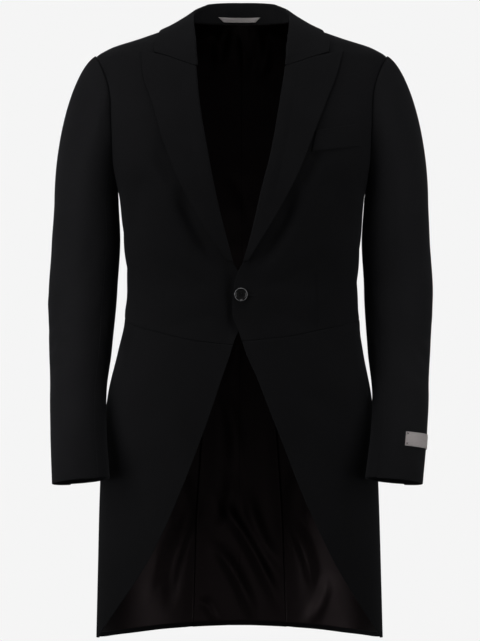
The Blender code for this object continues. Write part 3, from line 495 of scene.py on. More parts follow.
# Soft lights: name, place, aim, width, height, power in watts, spread in degrees
LIGHTS = (
    ("key", (-2.5, -1.8, -0.08), (0, 0, -0.42), 1.2, 2.6, 23.5, 180),
    ("fill", (2.6, -1.8, -0.35), (0, 0, -0.42), 1.2, 2.6, 14.5, 180),
    ("top", (-0.1, -0.6, 1.35), (0, 0, 0), 1.0, 0.5, 5.2, 180),
    ("sleeve_left", (-0.85, -1.3, -0.34), (-0.31, 0, -0.37), 0.15, 0.75, 0.23, 17),
    ("sleeve_right", (0.85, -1.3, -0.34), (0.31, 0, -0.37), 0.15, 0.75, 0.15, 17),
    ("low", (0.05, -1.5, -1.22), (0, 0, -0.95), 0.4, 0.15, 0.006, 24),
)
WORLD_LIGHT = 0.08


def sorted_rows(rows):
    """A table as an array whose first column rises."""
    data = np.array(rows, float)
    return data[np.argsort(data[:, 0])]


def read(table, column, at):
    """Smooth value of a table's column that doesn't overshoot its rows."""
    keys = table[:, 0]
    values = table[:, column]
    steps = np.diff(keys)
    slopes = np.diff(values) / steps
    tangents = np.zeros_like(values)
    same_way = slopes[1:] * slopes[:-1] > 0
    safe = np.where(same_way, slopes[1:] * slopes[:-1], 1.0)
    total = np.where(same_way, slopes[1:] + slopes[:-1], 1.0)
    tangents[1:-1] = np.where(same_way, 2 * safe / total, 0.0)
    tangents[0] = slopes[0]
    tangents[-1] = slopes[-1]
    at = np.asarray(at, float)
    index = np.clip(np.searchsorted(keys, at) - 1, 0, len(steps) - 1)
    step = steps[index]
    u = np.clip((at - keys[index]) / step, 0, 1)
    start = (1 + 2 * u) * (1 - u) ** 2 * values[index] + u * (1 - u) ** 2 * step * tangents[index]
    end = u * u * (3 - 2 * u) * values[index + 1] + u * u * (u - 1) * step * tangents[index + 1]
    return start + end


SECTIONS = sorted_rows(BODY_SECTIONS)
FRONTS = sorted_rows(FRONT_EDGES)
LAPELS = sorted_rows(LAPEL_EDGES)
WAIST = sorted_rows(WAIST_SEAM)
HEM_LINE = sorted_rows(HEM)
SIDE_LINE = sorted_rows(SIDE_SEAM)
BACK_LINE = sorted_rows(SIDE_BACK_SEAM)
STATIONS = sorted_rows(COLLAR_STATIONS)
RINGS = sorted_rows(SLEEVE_RINGS)
SLEEVE_BACK = sorted_rows(SLEEVE_BACK_SEAM)
UPPER_ARM = RINGS[-1, 0]
CUFF = RINGS[0, 0]


def section(name, height):
    """One measure of the body's section at a height."""
    return read(SECTIONS, SECTION_COLUMNS.index(name), height)


def fade(value, start, end):
    """Smooth change from 0 at start to 1 at end."""
    share = np.clip((np.asarray(value, float) - start) / (end - start), 0, 1)
    return share * share * (3 - 2 * share)


def between(first, last, share):
    """A value at a share of the way from one to another."""
    return first + (last - first) * share


def flat_place(across, along):
    """Places on the flat cloth in metres, from grids in mm."""
    return np.stack(np.broadcast_arrays(across, along), axis=-1) * MM


def surface(side, angle, height):
    """Points on the body's surface."""
    angle = np.asarray(angle, float)
    height = np.asarray(height, float)
    power = 2 / section("fullness", height)
    sine = np.sin(angle)
    cosine = np.cos(angle)
    x = section("half_width", height) * np.sign(sine) * np.abs(sine) ** power
    depth = np.where(cosine > 0, -section("front", height), section("back", height))
    y = depth * np.abs(cosine) ** power
    return np.stack(np.broadcast_arrays(section("centre", height) + side * x, y, height), axis=-1)


def unit(vectors):
    """Vectors of length one."""
    return vectors / np.maximum(np.linalg.norm(vectors, axis=-1, keepdims=True), 1e-9)


def normal(side, angle, height):
    """Outward directions of the body's surface."""
    turn = 0.02
    drop = 1.5
    along = surface(side, angle + turn, height) - surface(side, angle - turn, height)
    down = surface(side, angle, height - drop) - surface(side, angle, height + drop)
    return unit(np.cross(down, along) * side)


def on_body(side, angle, height, lift=0.0):
    """Points lifted off the body's surface."""
    lift = np.asarray(lift, float)[..., None]
    return surface(side, angle, height) + normal(side, angle, height) * lift


def angle_at(side, x, height, back=False):
    """The angle where the body's section passes a given x."""
    across = side * (np.asarray(x, float) - section("centre", height))
    share = np.clip(np.abs(across) / section("half_width", height), 0, 1)
    angle = np.sign(across) * np.arcsin(share ** (section("fullness", height) / 2))
    return math.pi - angle if back else angle


def lap_lift(side, x, height):
    """How far the left front is lifted where it lies over the right one."""
    across = 1 - fade(x, LAP_FLAT, LAP_END)
    down = fade(height, *LAP_RISE) * (1 - fade(height, *LAP_FALL))
    return np.where(side > 0, LAP_LIFT * across * down, 0.0)


def edge_x(table, side, height):
    """x of an edge in a table with a column for each side."""
    return read(table, EDGE_COLUMNS.index(SIDE_NAMES[side] + "_x"), height)


def tuck(height):
    """How far behind the roll line the forepart starts, under the lapel."""
    return TUCK * (1 - fade(height, *TUCK_FADE))


def front_edge(side, height):
    """Angle of the front edge of forepart and skirt."""
    return angle_at(side, edge_x(FRONTS, side, height) + side * tuck(height), height)


def armhole_angle(height, reach, depth_name, grown=0.0):
    """Angle from the side to the armhole's edge at a height, or to a larger oval round it."""
    half = ARMHOLE_HALF + grown
    open_share = np.sqrt(np.clip(1 - ((height - ARMHOLE_MIDDLE) / half) ** 2, 0, 1))
    share = (reach + grown) * open_share / section(depth_name, height)
    return np.arcsin(np.clip(share ** (section("fullness", height) / 2), 0, 1))


def armhole_front(side, height, grown=0.0):
    """Front edge of the armhole."""
    return math.pi / 2 - armhole_angle(height, ARMHOLE_FRONT, "front", grown)


def armhole_back(side, height, grown=0.0):
    """Back edge of the armhole; above it this is the shoulder seam."""
    return math.pi / 2 + armhole_angle(height, ARMHOLE_BACK, "back", grown)


def side_seam(side, height):
    """Front edge of the side body: the armhole's back, then the underarm seam."""
    underarm = np.radians(read(SIDE_LINE, VALUE, height))
    return np.where(height > ARMHOLE_FOOT, armhole_back(side, height), underarm)


def forepart_back(side, height):
    """Back edge of the forepart: shoulder seam, armhole, underarm seam."""
    underarm = np.radians(read(SIDE_LINE, VALUE, height))
    return np.where(height > ARMHOLE_FOOT, armhole_front(side, height), underarm)


def side_back_seam(side, height):
    """The curved seam between side body or skirt and the back."""
    x = section("centre", height) + side * read(BACK_LINE, VALUE, height)
    seam = angle_at(side, x, height, back=True)
    return np.maximum(seam, armhole_back(side, height))


def back_edge(side, height):
    """Outer edge of the back: shoulder seam, armhole, side back seam."""
    return np.where(height > SIDE_BODY_TOP, armhole_back(side, height), side_back_seam(side, height))


def centre_back(side, height):
    """The centre back seam."""
    return np.full_like(np.asarray(height, float), math.pi)


def pleat_edge(side, height):
    """The skirt's back edge, past the side back seam."""
    x = section("centre", height) + side * (read(BACK_LINE, VALUE, height) - PLEAT_LAP)
    return angle_at(side, x, height, back=True)


def level_height(side, level, angle):
    """Height of a level at an angle: 0 neck, 1 armhole's foot, 2 waist seam, 3 hem."""
    degrees = np.degrees(np.abs(angle))
    lean = side * WAIST_LEAN * (1 - fade(degrees, *LEAN_FADE))
    waist = read(WAIST, VALUE, degrees) + lean
    hem = read(HEM_LINE, VALUE, degrees)
    upper = between(NECK_HEIGHT, ARMHOLE_FOOT, level)
    rise = np.clip((upper - NECK_HEIGHT + NECK_RISE_DEPTH) / NECK_RISE_DEPTH, 0, 1)
    upper = upper + rise * BACK_NECK_RISE * np.clip(-np.cos(angle), 0, 1)
    middle = between(ARMHOLE_FOOT, waist, level - 1)
    low = between(waist, hem, level - 2)
    return np.where(level <= 1, upper, np.where(level <= 2, middle, low))


def edge_angles(side, levels, edge):
    """Angles where levels meet an edge that is given by height."""
    angle = np.full(len(levels), math.pi / 2)
    for _ in range(ROUNDS):
        angle = edge(side, level_height(side, levels, angle))
    return angle


def close_ends(length, step, first=True, last=True):
    """Distances from 0 to a length, closer together beside its ends."""
    close = np.array(EDGE_STEPS)
    head = close if first else close[:1]
    tail = length - close[::-1] if last else np.array([length])
    count = max(2, math.ceil((tail[0] - head[-1]) / step))
    middle = np.linspace(head[-1], tail[0], count + 1)[1:-1]
    return np.concatenate([head, middle, tail])


def levels_between(first, last, close_first=True):
    """Levels from one whole or part level to another, at about the usual step."""
    parts = []
    start = first
    while start < last - 1e-9:
        whole = math.floor(start + 1e-9)
        end = min(whole + 1, last)
        length = LEVEL_LENGTHS[whole] * (end - start)
        places = close_ends(length, STEP, close_first and start == first, end == last)
        parts.append(start + (end - start) * places / length)
        start = end
    if first < 1 < last:
        parts.append(1 + np.array(ARMHOLE_ROWS) / (NECK_HEIGHT - ARMHOLE_FOOT))
    return np.unique(np.round(np.concatenate(parts), 6))


class Panel:
    """Angles, heights and edge distances of a panel's points."""

    def __init__(self, side, levels, first, last, columns, start=0.0):
        self.side = side
        start_angles = edge_angles(side, levels, first)
        end_angles = edge_angles(side, levels, last)
        close = np.array(EDGE_STEPS)
        angles = []
        places = []
        lengths = []
        for level, begin, end in zip(levels, start_angles, end_angles):
            fine = np.linspace(begin, end, FINE_STEPS)
            points = surface(side, fine, level_height(side, level, fine))
            walked = np.concatenate([[0], np.cumsum(np.linalg.norm(np.diff(points, axis=0), axis=1))])
            length = max(walked[-1] - start, 0.1)
            near = close * min(1.0, length / (4 * close[-1]))
            middle = np.linspace(near[-1], length - near[-1], columns + 1)[1:-1]
            place = np.concatenate([near, middle, length - near[::-1]])
            angles.append(np.interp(place + start, walked, fine))
            places.append(place)
            lengths.append(length)
        self.angles = np.array(angles)
        self.heights = level_height(side, levels[:, None], self.angles)
        self.from_first = np.array(places)
        self.from_last = np.array(lengths)[:, None] - self.from_first
        self.from_top = self.heights[:1] - self.heights
        self.from_foot = self.heights - self.heights[-1:]
        self.points = surface(side, self.angles, self.heights)

    def rounding(self, first, last, top, foot):
        """How far the face drops beside each edge; None leaves an edge square."""
        drop = np.zeros(self.angles.shape)
        for distance, shape in ((self.from_first, first), (self.from_last, last),
                                (self.from_top, top), (self.from_foot, foot)):
            if shape is not None:
                drop = np.maximum(drop, rounded(distance, *shape))
        return drop

    def cloth_uv(self, from_last=False):
        """Places on the flat cloth in metres, measured from one of the upright edges."""
        return flat_place(self.from_last if from_last else self.from_first, self.heights)


def rounded(distance, reach, depth):
    """Drop of a surface beside an edge, along a quarter of an ellipse."""
    share = np.clip(1 - distance / reach, 0, 1)
    return depth * (1 - np.sqrt(1 - share * share))


def creases(table, across, height):
    """Sum of soft ridges and troughs, each along a bowed line that fades at both ends."""
    total = np.zeros(np.broadcast(across, height).shape)
    for from_across, from_height, to_across, to_height, bow, lift, width in table:
        length = math.hypot(to_across - from_across, to_height - from_height)
        way_across = (to_across - from_across) / length
        way_up = (to_height - from_height) / length
        along = ((across - from_across) * way_across + (height - from_height) * way_up) / length
        off = (height - from_height) * way_across - (across - from_across) * way_up
        off = off - bow * 4 * along * (1 - along)
        ends = fade(along, *START_FADE) * (1 - fade(along, *END_FADE))
        total = total + lift * np.exp(-(off / width) ** 2) * ends
    return total


def body_folds(side, angle, height):
    """The soft folds of the body's cloth."""
    point = surface(side, angle, height)
    front = fade(np.cos(angle), *ROUND_FADE)
    back = fade(-np.cos(angle), *ROUND_FADE)
    sides = (1 - front) * (1 - back)
    shift = SIDE_SHIFT if side > 0 else 0.0
    total = creases(FRONT_CREASES, point[..., 0], height) * front
    total = total + creases(BACK_CREASES, point[..., 0], height) * back
    return total + creases(SIDE_CREASES, point[..., 1] + shift, height + shift) * sides


def scene_object(name, data):
    """An object of some data, put into the scene."""
    thing = bpy.data.objects.new(name, data)
    bpy.context.scene.collection.objects.link(thing)
    return thing


def mesh_object(name, vertices, faces, material, uv=None):
    """A smooth mesh object whose faces point outwards."""
    vertices = np.asarray(vertices, float)
    faces = np.asarray(faces)
    corners = vertices[faces]
    volume = 0.0
    for k in range(1, faces.shape[1] - 1):
        volume += np.einsum("ij,ij->i", corners[:, 0], np.cross(corners[:, k], corners[:, k + 1])).sum()
    if volume < 0:
        faces = faces[:, ::-1]
    mesh = bpy.data.meshes.new(name)
    mesh.from_pydata(vertices.tolist(), [], faces.tolist())
    if uv is not None:
        layer = mesh.uv_layers.new(name="cloth")
        layer.data.foreach_set("uv", uv[faces.ravel()].ravel())
    mesh.shade_smooth()
    mesh.materials.append(MATERIALS[material])
    return scene_object(name, mesh)


def add_piece(piece, slot_name, *nodes):
    """Let a piece ride on the coat and stand for its solids."""
    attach(piece, "root")
    if nodes:
        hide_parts(*nodes)


def sided(name, side):
    """A name with its side."""
    return name + "_" + SIDE_NAMES[side]


def quads(a, b, c, d):
    """Faces of four corners from four arrays of vertex numbers."""
    return np.stack([a, b, c, d], axis=-1).reshape(-1, 4)


def shell(name, node, outer, inner, uv, material):
    """One closed thin wall between two grids of points in mm, in place of its solid."""
    rows, columns = outer.shape[:2]
    count = rows * columns
    index = np.arange(count).reshape(rows, columns)
    face = quads(index[:-1, :-1], index[1:, :-1], index[1:, 1:], index[:-1, 1:])
    ring = np.concatenate([index[0, :], index[1:, -1], index[-1, -2::-1], index[-2:0:-1, 0]])
    following = np.roll(ring, -1)
    rim = quads(ring, following, following + count, ring + count)
    vertices = np.concatenate([outer.reshape(-1, 3), inner.reshape(-1, 3)]) * MM
    faces = np.concatenate([face, face[:, ::-1] + count, rim])
    flat = np.concatenate([uv.reshape(-1, 2), uv.reshape(-1, 2)])
    add_piece(mesh_object(name, vertices, faces, material, flat), material, node)


def panel_shell(name, panel, base, material, edges, inner_edges=SQUARE, thickness=CLOTH, from_last=False):
    """Shell of a body panel with rounded edges. Folded edges are rounded inside too."""
    outer = on_body(panel.side, panel.angles, panel.heights, base - panel.rounding(*edges))
    inner_lift = base - thickness + panel.rounding(*inner_edges)
    inner = on_body(panel.side, panel.angles, panel.heights, inner_lift)
    uv = panel.cloth_uv(from_last)
    shell(sided(name + "_shell", panel.side), sided(name, panel.side), outer, inner, uv, material)


def body_base(panel):
    """Lift of a panel's face: its folds, the lap of the left front and the dip of the right one beside it."""
    lap = lap_lift(panel.side, panel.points[..., 0], panel.heights) * (panel.angles < FRONT_ONLY)
    if panel.side == RIGHT:
        lap = lap + creases(UNDERLAP_DIP, panel.points[..., 0], panel.heights) * (panel.angles < FRONT_ONLY)
    return lap + body_folds(panel.side, panel.angles, panel.heights)


def make_forepart(side):
    """Front panel from the shoulder to the waist seam, with its dart as a trough in the face."""
    levels = levels_between(0, 2, close_first=False)
    panel = Panel(side, levels, front_edge, forepart_back, COLUMNS["forepart"])
    base = body_base(panel) + creases(DARTS, panel.points[..., 0], panel.heights)
    panel_shell("forepart", panel, base, WOOL, (FOLD_ROUND, SEAM_ROUND, None, SEAM_ROUND),
                (FOLD_ROUND, None, None, None))


def make_side_body(side):
    """Panel between the underarm seam and the side back seam, down to the waist seam."""
    top = (SIDE_BODY_TOP - NECK_HEIGHT) / (ARMHOLE_FOOT - NECK_HEIGHT)
    panel = Panel(side, levels_between(top, 2), side_seam, side_back_seam, COLUMNS["side_body"])
    panel_shell("side_body", panel, body_base(panel), WOOL, (SEAM_ROUND, SEAM_ROUND, None, SEAM_ROUND))


def make_back(side):
    """Back panel from the neck to the hem."""
    panel = Panel(side, levels_between(0, 3, close_first=False), back_edge, centre_back, COLUMNS["back"])
    panel_shell("back", panel, body_base(panel), WOOL, (SEAM_ROUND, SEAM_ROUND, None, FOLD_ROUND),
                (None, None, None, FOLD_ROUND), from_last=True)


def make_skirt(side):
    """Skirt from the waist seam to the hem, cut away at the front and lapped on the back."""
    panel = Panel(side, levels_between(2, 3), front_edge, pleat_edge, COLUMNS["skirt"])
    ramp = 1 - fade(panel.from_last - PLEAT_LAP, PLEAT_RAMP[1], PLEAT_RAMP[0])
    panel_shell("skirt", panel, body_base(panel) + PLEAT_LIFT * ramp, WOOL,
                (FOLD_ROUND, FOLD_ROUND, SEAM_ROUND, FOLD_ROUND), (FOLD_ROUND, FOLD_ROUND, None, FOLD_ROUND))


def lining_base(panel):
    """Depth of the lining's face with its own folds, which rise towards the hollow."""
    folds = creases(LINING_CREASES, panel.points[..., 0], panel.heights)
    return body_base(panel) - LINING_DEPTH - LINING_EASE - folds


def make_back_lining(side):
    """Lining of the back, from the neck seam to just above the hem."""
    levels = levels_between(BACK_LINING_TOP, LINING_FOOT)
    panel = Panel(side, levels, back_edge, centre_back, COLUMNS["lining_back"])
    panel_shell("lining_back", panel, lining_base(panel), SATIN, SQUARE, (SEAM_ROUND, None, None, FOLD_ROUND),
                LINING, from_last=True)


def make_skirt_lining(side):
    """Lining of the skirt, back from the cut edge and up from the hem."""
    levels = levels_between(SKIRT_LINING_TOP, LINING_FOOT)
    panel = Panel(side, levels, front_edge, side_back_seam, COLUMNS["lining_skirt"], SKIRT_LINING_START)
    panel_shell("lining_skirt", panel, lining_base(panel), SATIN, SQUARE,
                (FOLD_ROUND, SEAM_ROUND, FOLD_ROUND, FOLD_ROUND), LINING)


def lapel_place(side, down, across):
    """x and height on a lapel: down runs from the gorge to the foot, across from roll to edge."""
    roll_height = between(GORGE_HEIGHT, LAPEL_FOOT, down)
    edge_height = between(PEAK_HEIGHT, LAPEL_FOOT, down)
    roll = edge_x(FRONTS, side, roll_height)
    edge = edge_x(LAPELS, side, edge_height)
    bow = GORGE_BOW * np.sin(math.pi * np.clip(across, 0, 1) ** 1.6) * (1 - down) ** 2
    return between(roll, edge, across), between(roll_height, edge_height, across) + bow


def lapel_section(width, nose):
    """Distances from the roll line with the outer and inner lifts there."""
    depth = LAPEL_INNER - (LAPEL_INNER + CLOTH) * (nose - NOSE_WIDTH[0]) / (NOSE_WIDTH[1] - NOSE_WIDTH[0])
    middle = (LAPEL_OUTER + depth) / 2
    half = (LAPEL_OUTER - depth) / 2
    turns = np.radians(NOSE_TURNS)
    fold = max(nose / 2, 0.3) * (1 - np.cos(turns))
    rest = nose + NOSE_REST
    spread = rest + close_ends(width - rest, WIDE_STEP, first=False)
    spread = np.unique(np.concatenate([np.linspace(rest, spread[1], ROLL_POINTS), spread[1:]]))
    distance = np.concatenate([fold, [nose], spread])
    outer = np.concatenate([middle + half * np.sin(turns), np.full(len(spread) + 1, LAPEL_OUTER)])
    inner = np.concatenate([middle - half * np.sin(turns), [depth], np.full(len(spread), LAPEL_INNER)])
    edge = rounded(width - distance, *LAPEL_EDGE_ROUND)
    return distance, outer - edge, inner + edge


def make_lapel(side):
    """Lapel turned over at the roll line, with a round fold, a soft belly and a stand-off."""
    drops = close_ends(GORGE_HEIGHT - LAPEL_FOOT, LAPEL_STEP, last=False)
    outer_rows = []
    inner_rows = []
    uv_rows = []
    for drop in drops:
        down = drop / (GORGE_HEIGHT - LAPEL_FOOT)
        roll_x, roll_height = lapel_place(side, down, np.array(0.0))
        outer_x, _ = lapel_place(side, down, np.array(1.0))
        width = abs(outer_x - roll_x)
        nose = between(NOSE_WIDTH[1], NOSE_WIDTH[0], float(fade(roll_height, *NOSE_FADE)))
        distance, outer, inner = lapel_section(width, nose)
        across = distance / width
        x, height = lapel_place(side, down, across)
        angle = angle_at(side, x, height)
        stand_off = LAPEL_STAND_OFF * np.sin(math.pi * down ** 2.2) * across ** 1.4
        bulge = np.sin(math.pi * np.clip(distance / BELLY_REACH, 0, 1))
        belly = LAPEL_BELLY * math.sin(math.pi * down) * bulge
        base = lap_lift(side, x, height) + stand_off + body_folds(side, angle, height)
        top_edge = rounded(drop, *LAPEL_EDGE_ROUND)
        outer_rows.append(on_body(side, angle, height, outer + belly + base - top_edge))
        inner_rows.append(on_body(side, angle, height, inner + base + top_edge))
        uv_rows.append(flat_place(distance, height))
    shell(sided("lapel_shell", side), sided("lapel", side), np.array(outer_rows), np.array(inner_rows),
          np.array(uv_rows), WOOL)


def neck_point(side, place):
    """Middle of the body's wall along the neck: centre back 0, neck point 1, gorge 2."""
    if place <= 1:
        angle = math.pi * (1 - place / 2)
        height = NECK_HEIGHT + BACK_NECK_RISE * max(-math.cos(angle), 0)
    else:
        height = NECK_HEIGHT + (GORGE_HEIGHT + SEAM_GAP - NECK_HEIGHT) * (place - 1) ** NECK_BOW
        angle = front_edge(side, height)
    return on_body(side, np.asarray(float(angle)), np.asarray(height), -CLOTH / 2)


def clear_of_body(point, clearance):
    """Push a point out until it is clear of the body's surface."""
    x, y, height = point
    side = LEFT if x >= section("centre", height) else RIGHT
    width = float(section("half_width", height))
    depth = float(section("front" if y < 0 else "back", height))
    power = float(section("fullness", height))
    across = abs(x - float(section("centre", height))) / width
    reach = (across ** power + (abs(y) / depth) ** power) ** (1 / power)
    sine = min((across / max(reach, 1e-6)) ** (power / 2), 1.0)
    angle = math.asin(sine) if y < 0 else math.pi - math.asin(sine)
    foot = on_body(side, np.asarray(angle), np.asarray(height))
    out = normal(side, np.asarray(angle), np.asarray(height))
    gap = float(np.dot(point - foot, out))
    return point + out * max(clearance - gap, 0)


def collar_line(side, station):
    """Middle line of the collar's section at a station, from the neck seam over the crease to the edge."""
    values = [float(read(STATIONS, column, station)) for column in range(1, len(STATION_COLUMNS))]
    crease = np.array([side * values[0], values[1], values[2]])
    neck = neck_point(side, values[3])
    edge = on_body(side, np.asarray(math.radians(values[4])), np.asarray(values[5]), COLLAR_CLEAR)
    down_stand = unit(neck - crease)
    down_fall = unit(edge - crease)
    top = unit(-(down_stand + down_fall))
    out = unit(down_fall - top * np.dot(down_fall, top))
    stand_foot = neck - down_stand * STAND_CLEAR
    stand_top = crease - out * COLLAR_SPLIT
    fall_top = crease + out * COLLAR_SPLIT
    stand = [between(stand_top, stand_foot, share) for share in STAND_SHARES]
    fall = [clear_of_body(between(fall_top, edge, share), COLLAR_CLEAR) for share in FALL_SHARES]
    return np.array(stand + [crease + top * COLLAR_SPLIT] + fall)


def gorge_line(side):
    """The collar's end, along the gorge and the notch."""
    line = collar_line(side, LAST_STATION)
    shares = np.array(FALL_SHARES) * GORGE_SHARE
    shares[0] = GORGE_START
    x, height = lapel_place(side, 0.0, shares)
    lift = LAPEL_OUTER - COLLAR_CLOTH / 2
    line[:-len(FALL_SHARES), 2] += GORGE_CLEAR
    line[-len(FALL_SHARES):] = on_body(side, angle_at(side, x, height + GORGE_GAP), height + GORGE_GAP, lift)
    return line


def smooth_line(points, count):
    """A smooth curve of even steps through a few points."""
    ends = np.concatenate([[2 * points[0] - points[1]], points, [2 * points[-1] - points[-2]]])
    curve = []
    for k in range(1, len(ends) - 2):
        for share in np.linspace(0, 1, 9)[:-1]:
            a, b, c, d = ends[k - 1:k + 3]
            curve.append(0.5 * (2 * b + (c - a) * share + (2 * a - 5 * b + 4 * c - d) * share ** 2
                                + (3 * b - a - 3 * c + d) * share ** 3))
    curve = np.array(curve + [points[-1]])
    walked = np.concatenate([[0], np.cumsum(np.linalg.norm(np.diff(curve, axis=0), axis=1))])
    close = np.array(EDGE_STEPS[:-1])
    even = np.linspace(0, walked[-1] - EDGE_STEPS[-1], count - len(close))
    places = np.concatenate([even, walked[-1] - close[::-1]])
    return np.stack([np.interp(places, walked, curve[:, axis]) for axis in range(3)], axis=-1), places


def collar_section(side, station):
    """The collar's middle line at any station, drawn towards its end along the gorge."""
    if station <= GORGE_STATION:
        return collar_line(side, station)
    share = (station - GORGE_STATION) / (LAST_STATION - GORGE_STATION)
    return collar_line(side, GORGE_STATION) * (1 - share) + gorge_line(side) * share


def make_collar():
    """Folded collar: stand, crease and fall in one piece, with rounded edges."""
    places = close_ends(COLLAR_REACH, COLLAR_REACH / COLLAR_STEPS, first=False)
    stations = places * LAST_STATION / COLLAR_REACH
    signed = [(RIGHT, place, station) for place, station in zip(places[:0:-1], stations[:0:-1])]
    signed += [(LEFT, place, station) for place, station in zip(places, stations)]
    grid = []
    uv = []
    ends = []
    for side, place, station in signed:
        line, walked = smooth_line(collar_section(side, station), SECTION_POINTS)
        grid.append(line)
        uv.append(flat_place(walked, side * place))
        ends.append(COLLAR_REACH - place)
    grid = np.array(grid)
    out = unit(np.cross(np.gradient(grid, axis=0), np.gradient(grid, axis=1)))
    walked = np.array(uv)[..., 0] / MM
    half = np.full(grid.shape[:2], COLLAR_CLOTH / 2)
    edge = rounded(walked[:, -1:] - walked, *COLLAR_EDGE_ROUND)
    gorge = rounded(np.array(ends)[:, None], *GORGE_ROUND)
    half = (half - np.maximum(edge, gorge))[..., None]
    shell("collar_shell", "collar", grid + out * half, grid - out * half, np.array(uv), WOOL)


def ring(name, height):
    """One measure of the sleeve at a height."""
    return read(RINGS, RING_COLUMNS.index(name), height)


def ring_point(side, turn, height):
    """Points on the sleeve below its head; turn is 0 outside, a quarter turn at the front."""
    centre_x = ring("left_x" if side > 0 else "right_x", height)
    x = centre_x + ring("half_width", height) * np.cos(turn)
    y = ring("centre_y", height) - ring("half_depth", height) * np.sin(turn)
    rise = ring("front_rise", height) * np.sin(turn) - ring("inner_rise", height) * np.cos(turn)
    return np.stack(np.broadcast_arrays(side * x, y, height + rise), axis=-1)


def armhole_place(side, turn, grown=0.0):
    """Angle and height on the body of a turn round the armhole, or round a larger oval."""
    height = ARMHOLE_MIDDLE + (ARMHOLE_HALF + grown) * np.cos(turn)
    front = np.sin(turn) > 0
    return np.where(front, armhole_front(side, height, grown), armhole_back(side, height, grown)), height


def head_point(side, turn, share):
    """Points on the sleeve's head, from the armhole (0) to the upper arm (1)."""
    turn, share = np.broadcast_arrays(np.asarray(turn, float), np.asarray(share, float))
    angle, height = armhole_place(side, turn)
    out = normal(side, angle, height)
    level = unit(out * np.array([1.0, 1.0, 0.0]))
    low = ((1 - np.cos(turn)) / 2)[..., None] ** 3
    start_way = unit(level * between(*HEAD_OUT, low) - UP * between(*HEAD_DOWN, low))
    slant = np.sqrt(np.clip(1 - np.sum(start_way * out, axis=-1) ** 2, 0, 1))
    start = on_body(side, angle, height, SEAM_GAP + CLOTH / 2 * slant)
    end = ring_point(side, turn, UPPER_ARM)
    reach = np.linalg.norm(end - start, axis=-1, keepdims=True)
    leave = start + start_way * reach * HEAD_LEAVE
    arrive = end + UP * reach * HEAD_ARRIVE
    s = share[..., None]
    return (1 - s) ** 3 * start + 3 * (1 - s) ** 2 * s * leave + 3 * (1 - s) * s * s * arrive + s ** 3 * end


def allowance(side, turn, grown, lift):
    """Points of the sleeve's seam allowance, which lies inside the body round the armhole."""
    return on_body(side, *armhole_place(side, turn, grown), lift)


def sleeve_height(place):
    """Height of a place down the sleeve, below its head."""
    return between(UPPER_ARM, CUFF, place - 1)


def sleeve_place(height):
    """The place down the sleeve of a height below its head."""
    return 1 + (np.asarray(height, float) - UPPER_ARM) / (CUFF - UPPER_ARM)


def sleeve_point(side, turn, place):
    """Points on the sleeve: place 0 to 1 is the head, 1 to 2 runs down to the cuff."""
    turn, place = np.broadcast_arrays(np.asarray(turn, float), np.asarray(place, float))
    below = ring_point(side, turn, sleeve_height(np.clip(place, 1, 2)))
    above = head_point(side, turn, np.clip(place, 0, 1))
    return np.where((place <= 1)[..., None], above, below)


def on_sleeve(side, turn, place, lift):
    """Points lifted off the middle of the sleeve's wall."""
    step = 0.004
    low = np.clip(place + step, 0, 2)
    high = np.clip(place - step, 0, 2)
    along = sleeve_point(side, turn + 0.01, place) - sleeve_point(side, turn - 0.01, place)
    down = sleeve_point(side, turn, low) - sleeve_point(side, turn, high)
    out = unit(np.cross(along, down)) * side
    return sleeve_point(side, turn, place) + out * np.asarray(lift, float)[..., None]


def sleeve_folds(side, turn, place):
    """The soft folds of a sleeve."""
    degrees = np.degrees(turn)
    degrees = np.where(degrees > 180, degrees - 360, degrees)
    scale = math.radians(1) * SLEEVE_RADIUS
    turn_shift, height_shift = SLEEVE_SHIFTS[side]
    table = [(row[0] * scale, row[1], row[2] * scale) + row[3:] for row in SLEEVE_CREASES]
    folds = creases(table, (degrees + turn_shift) * scale, sleeve_height(place) + height_shift)
    return folds * fade(place, *HEAD_FADE)


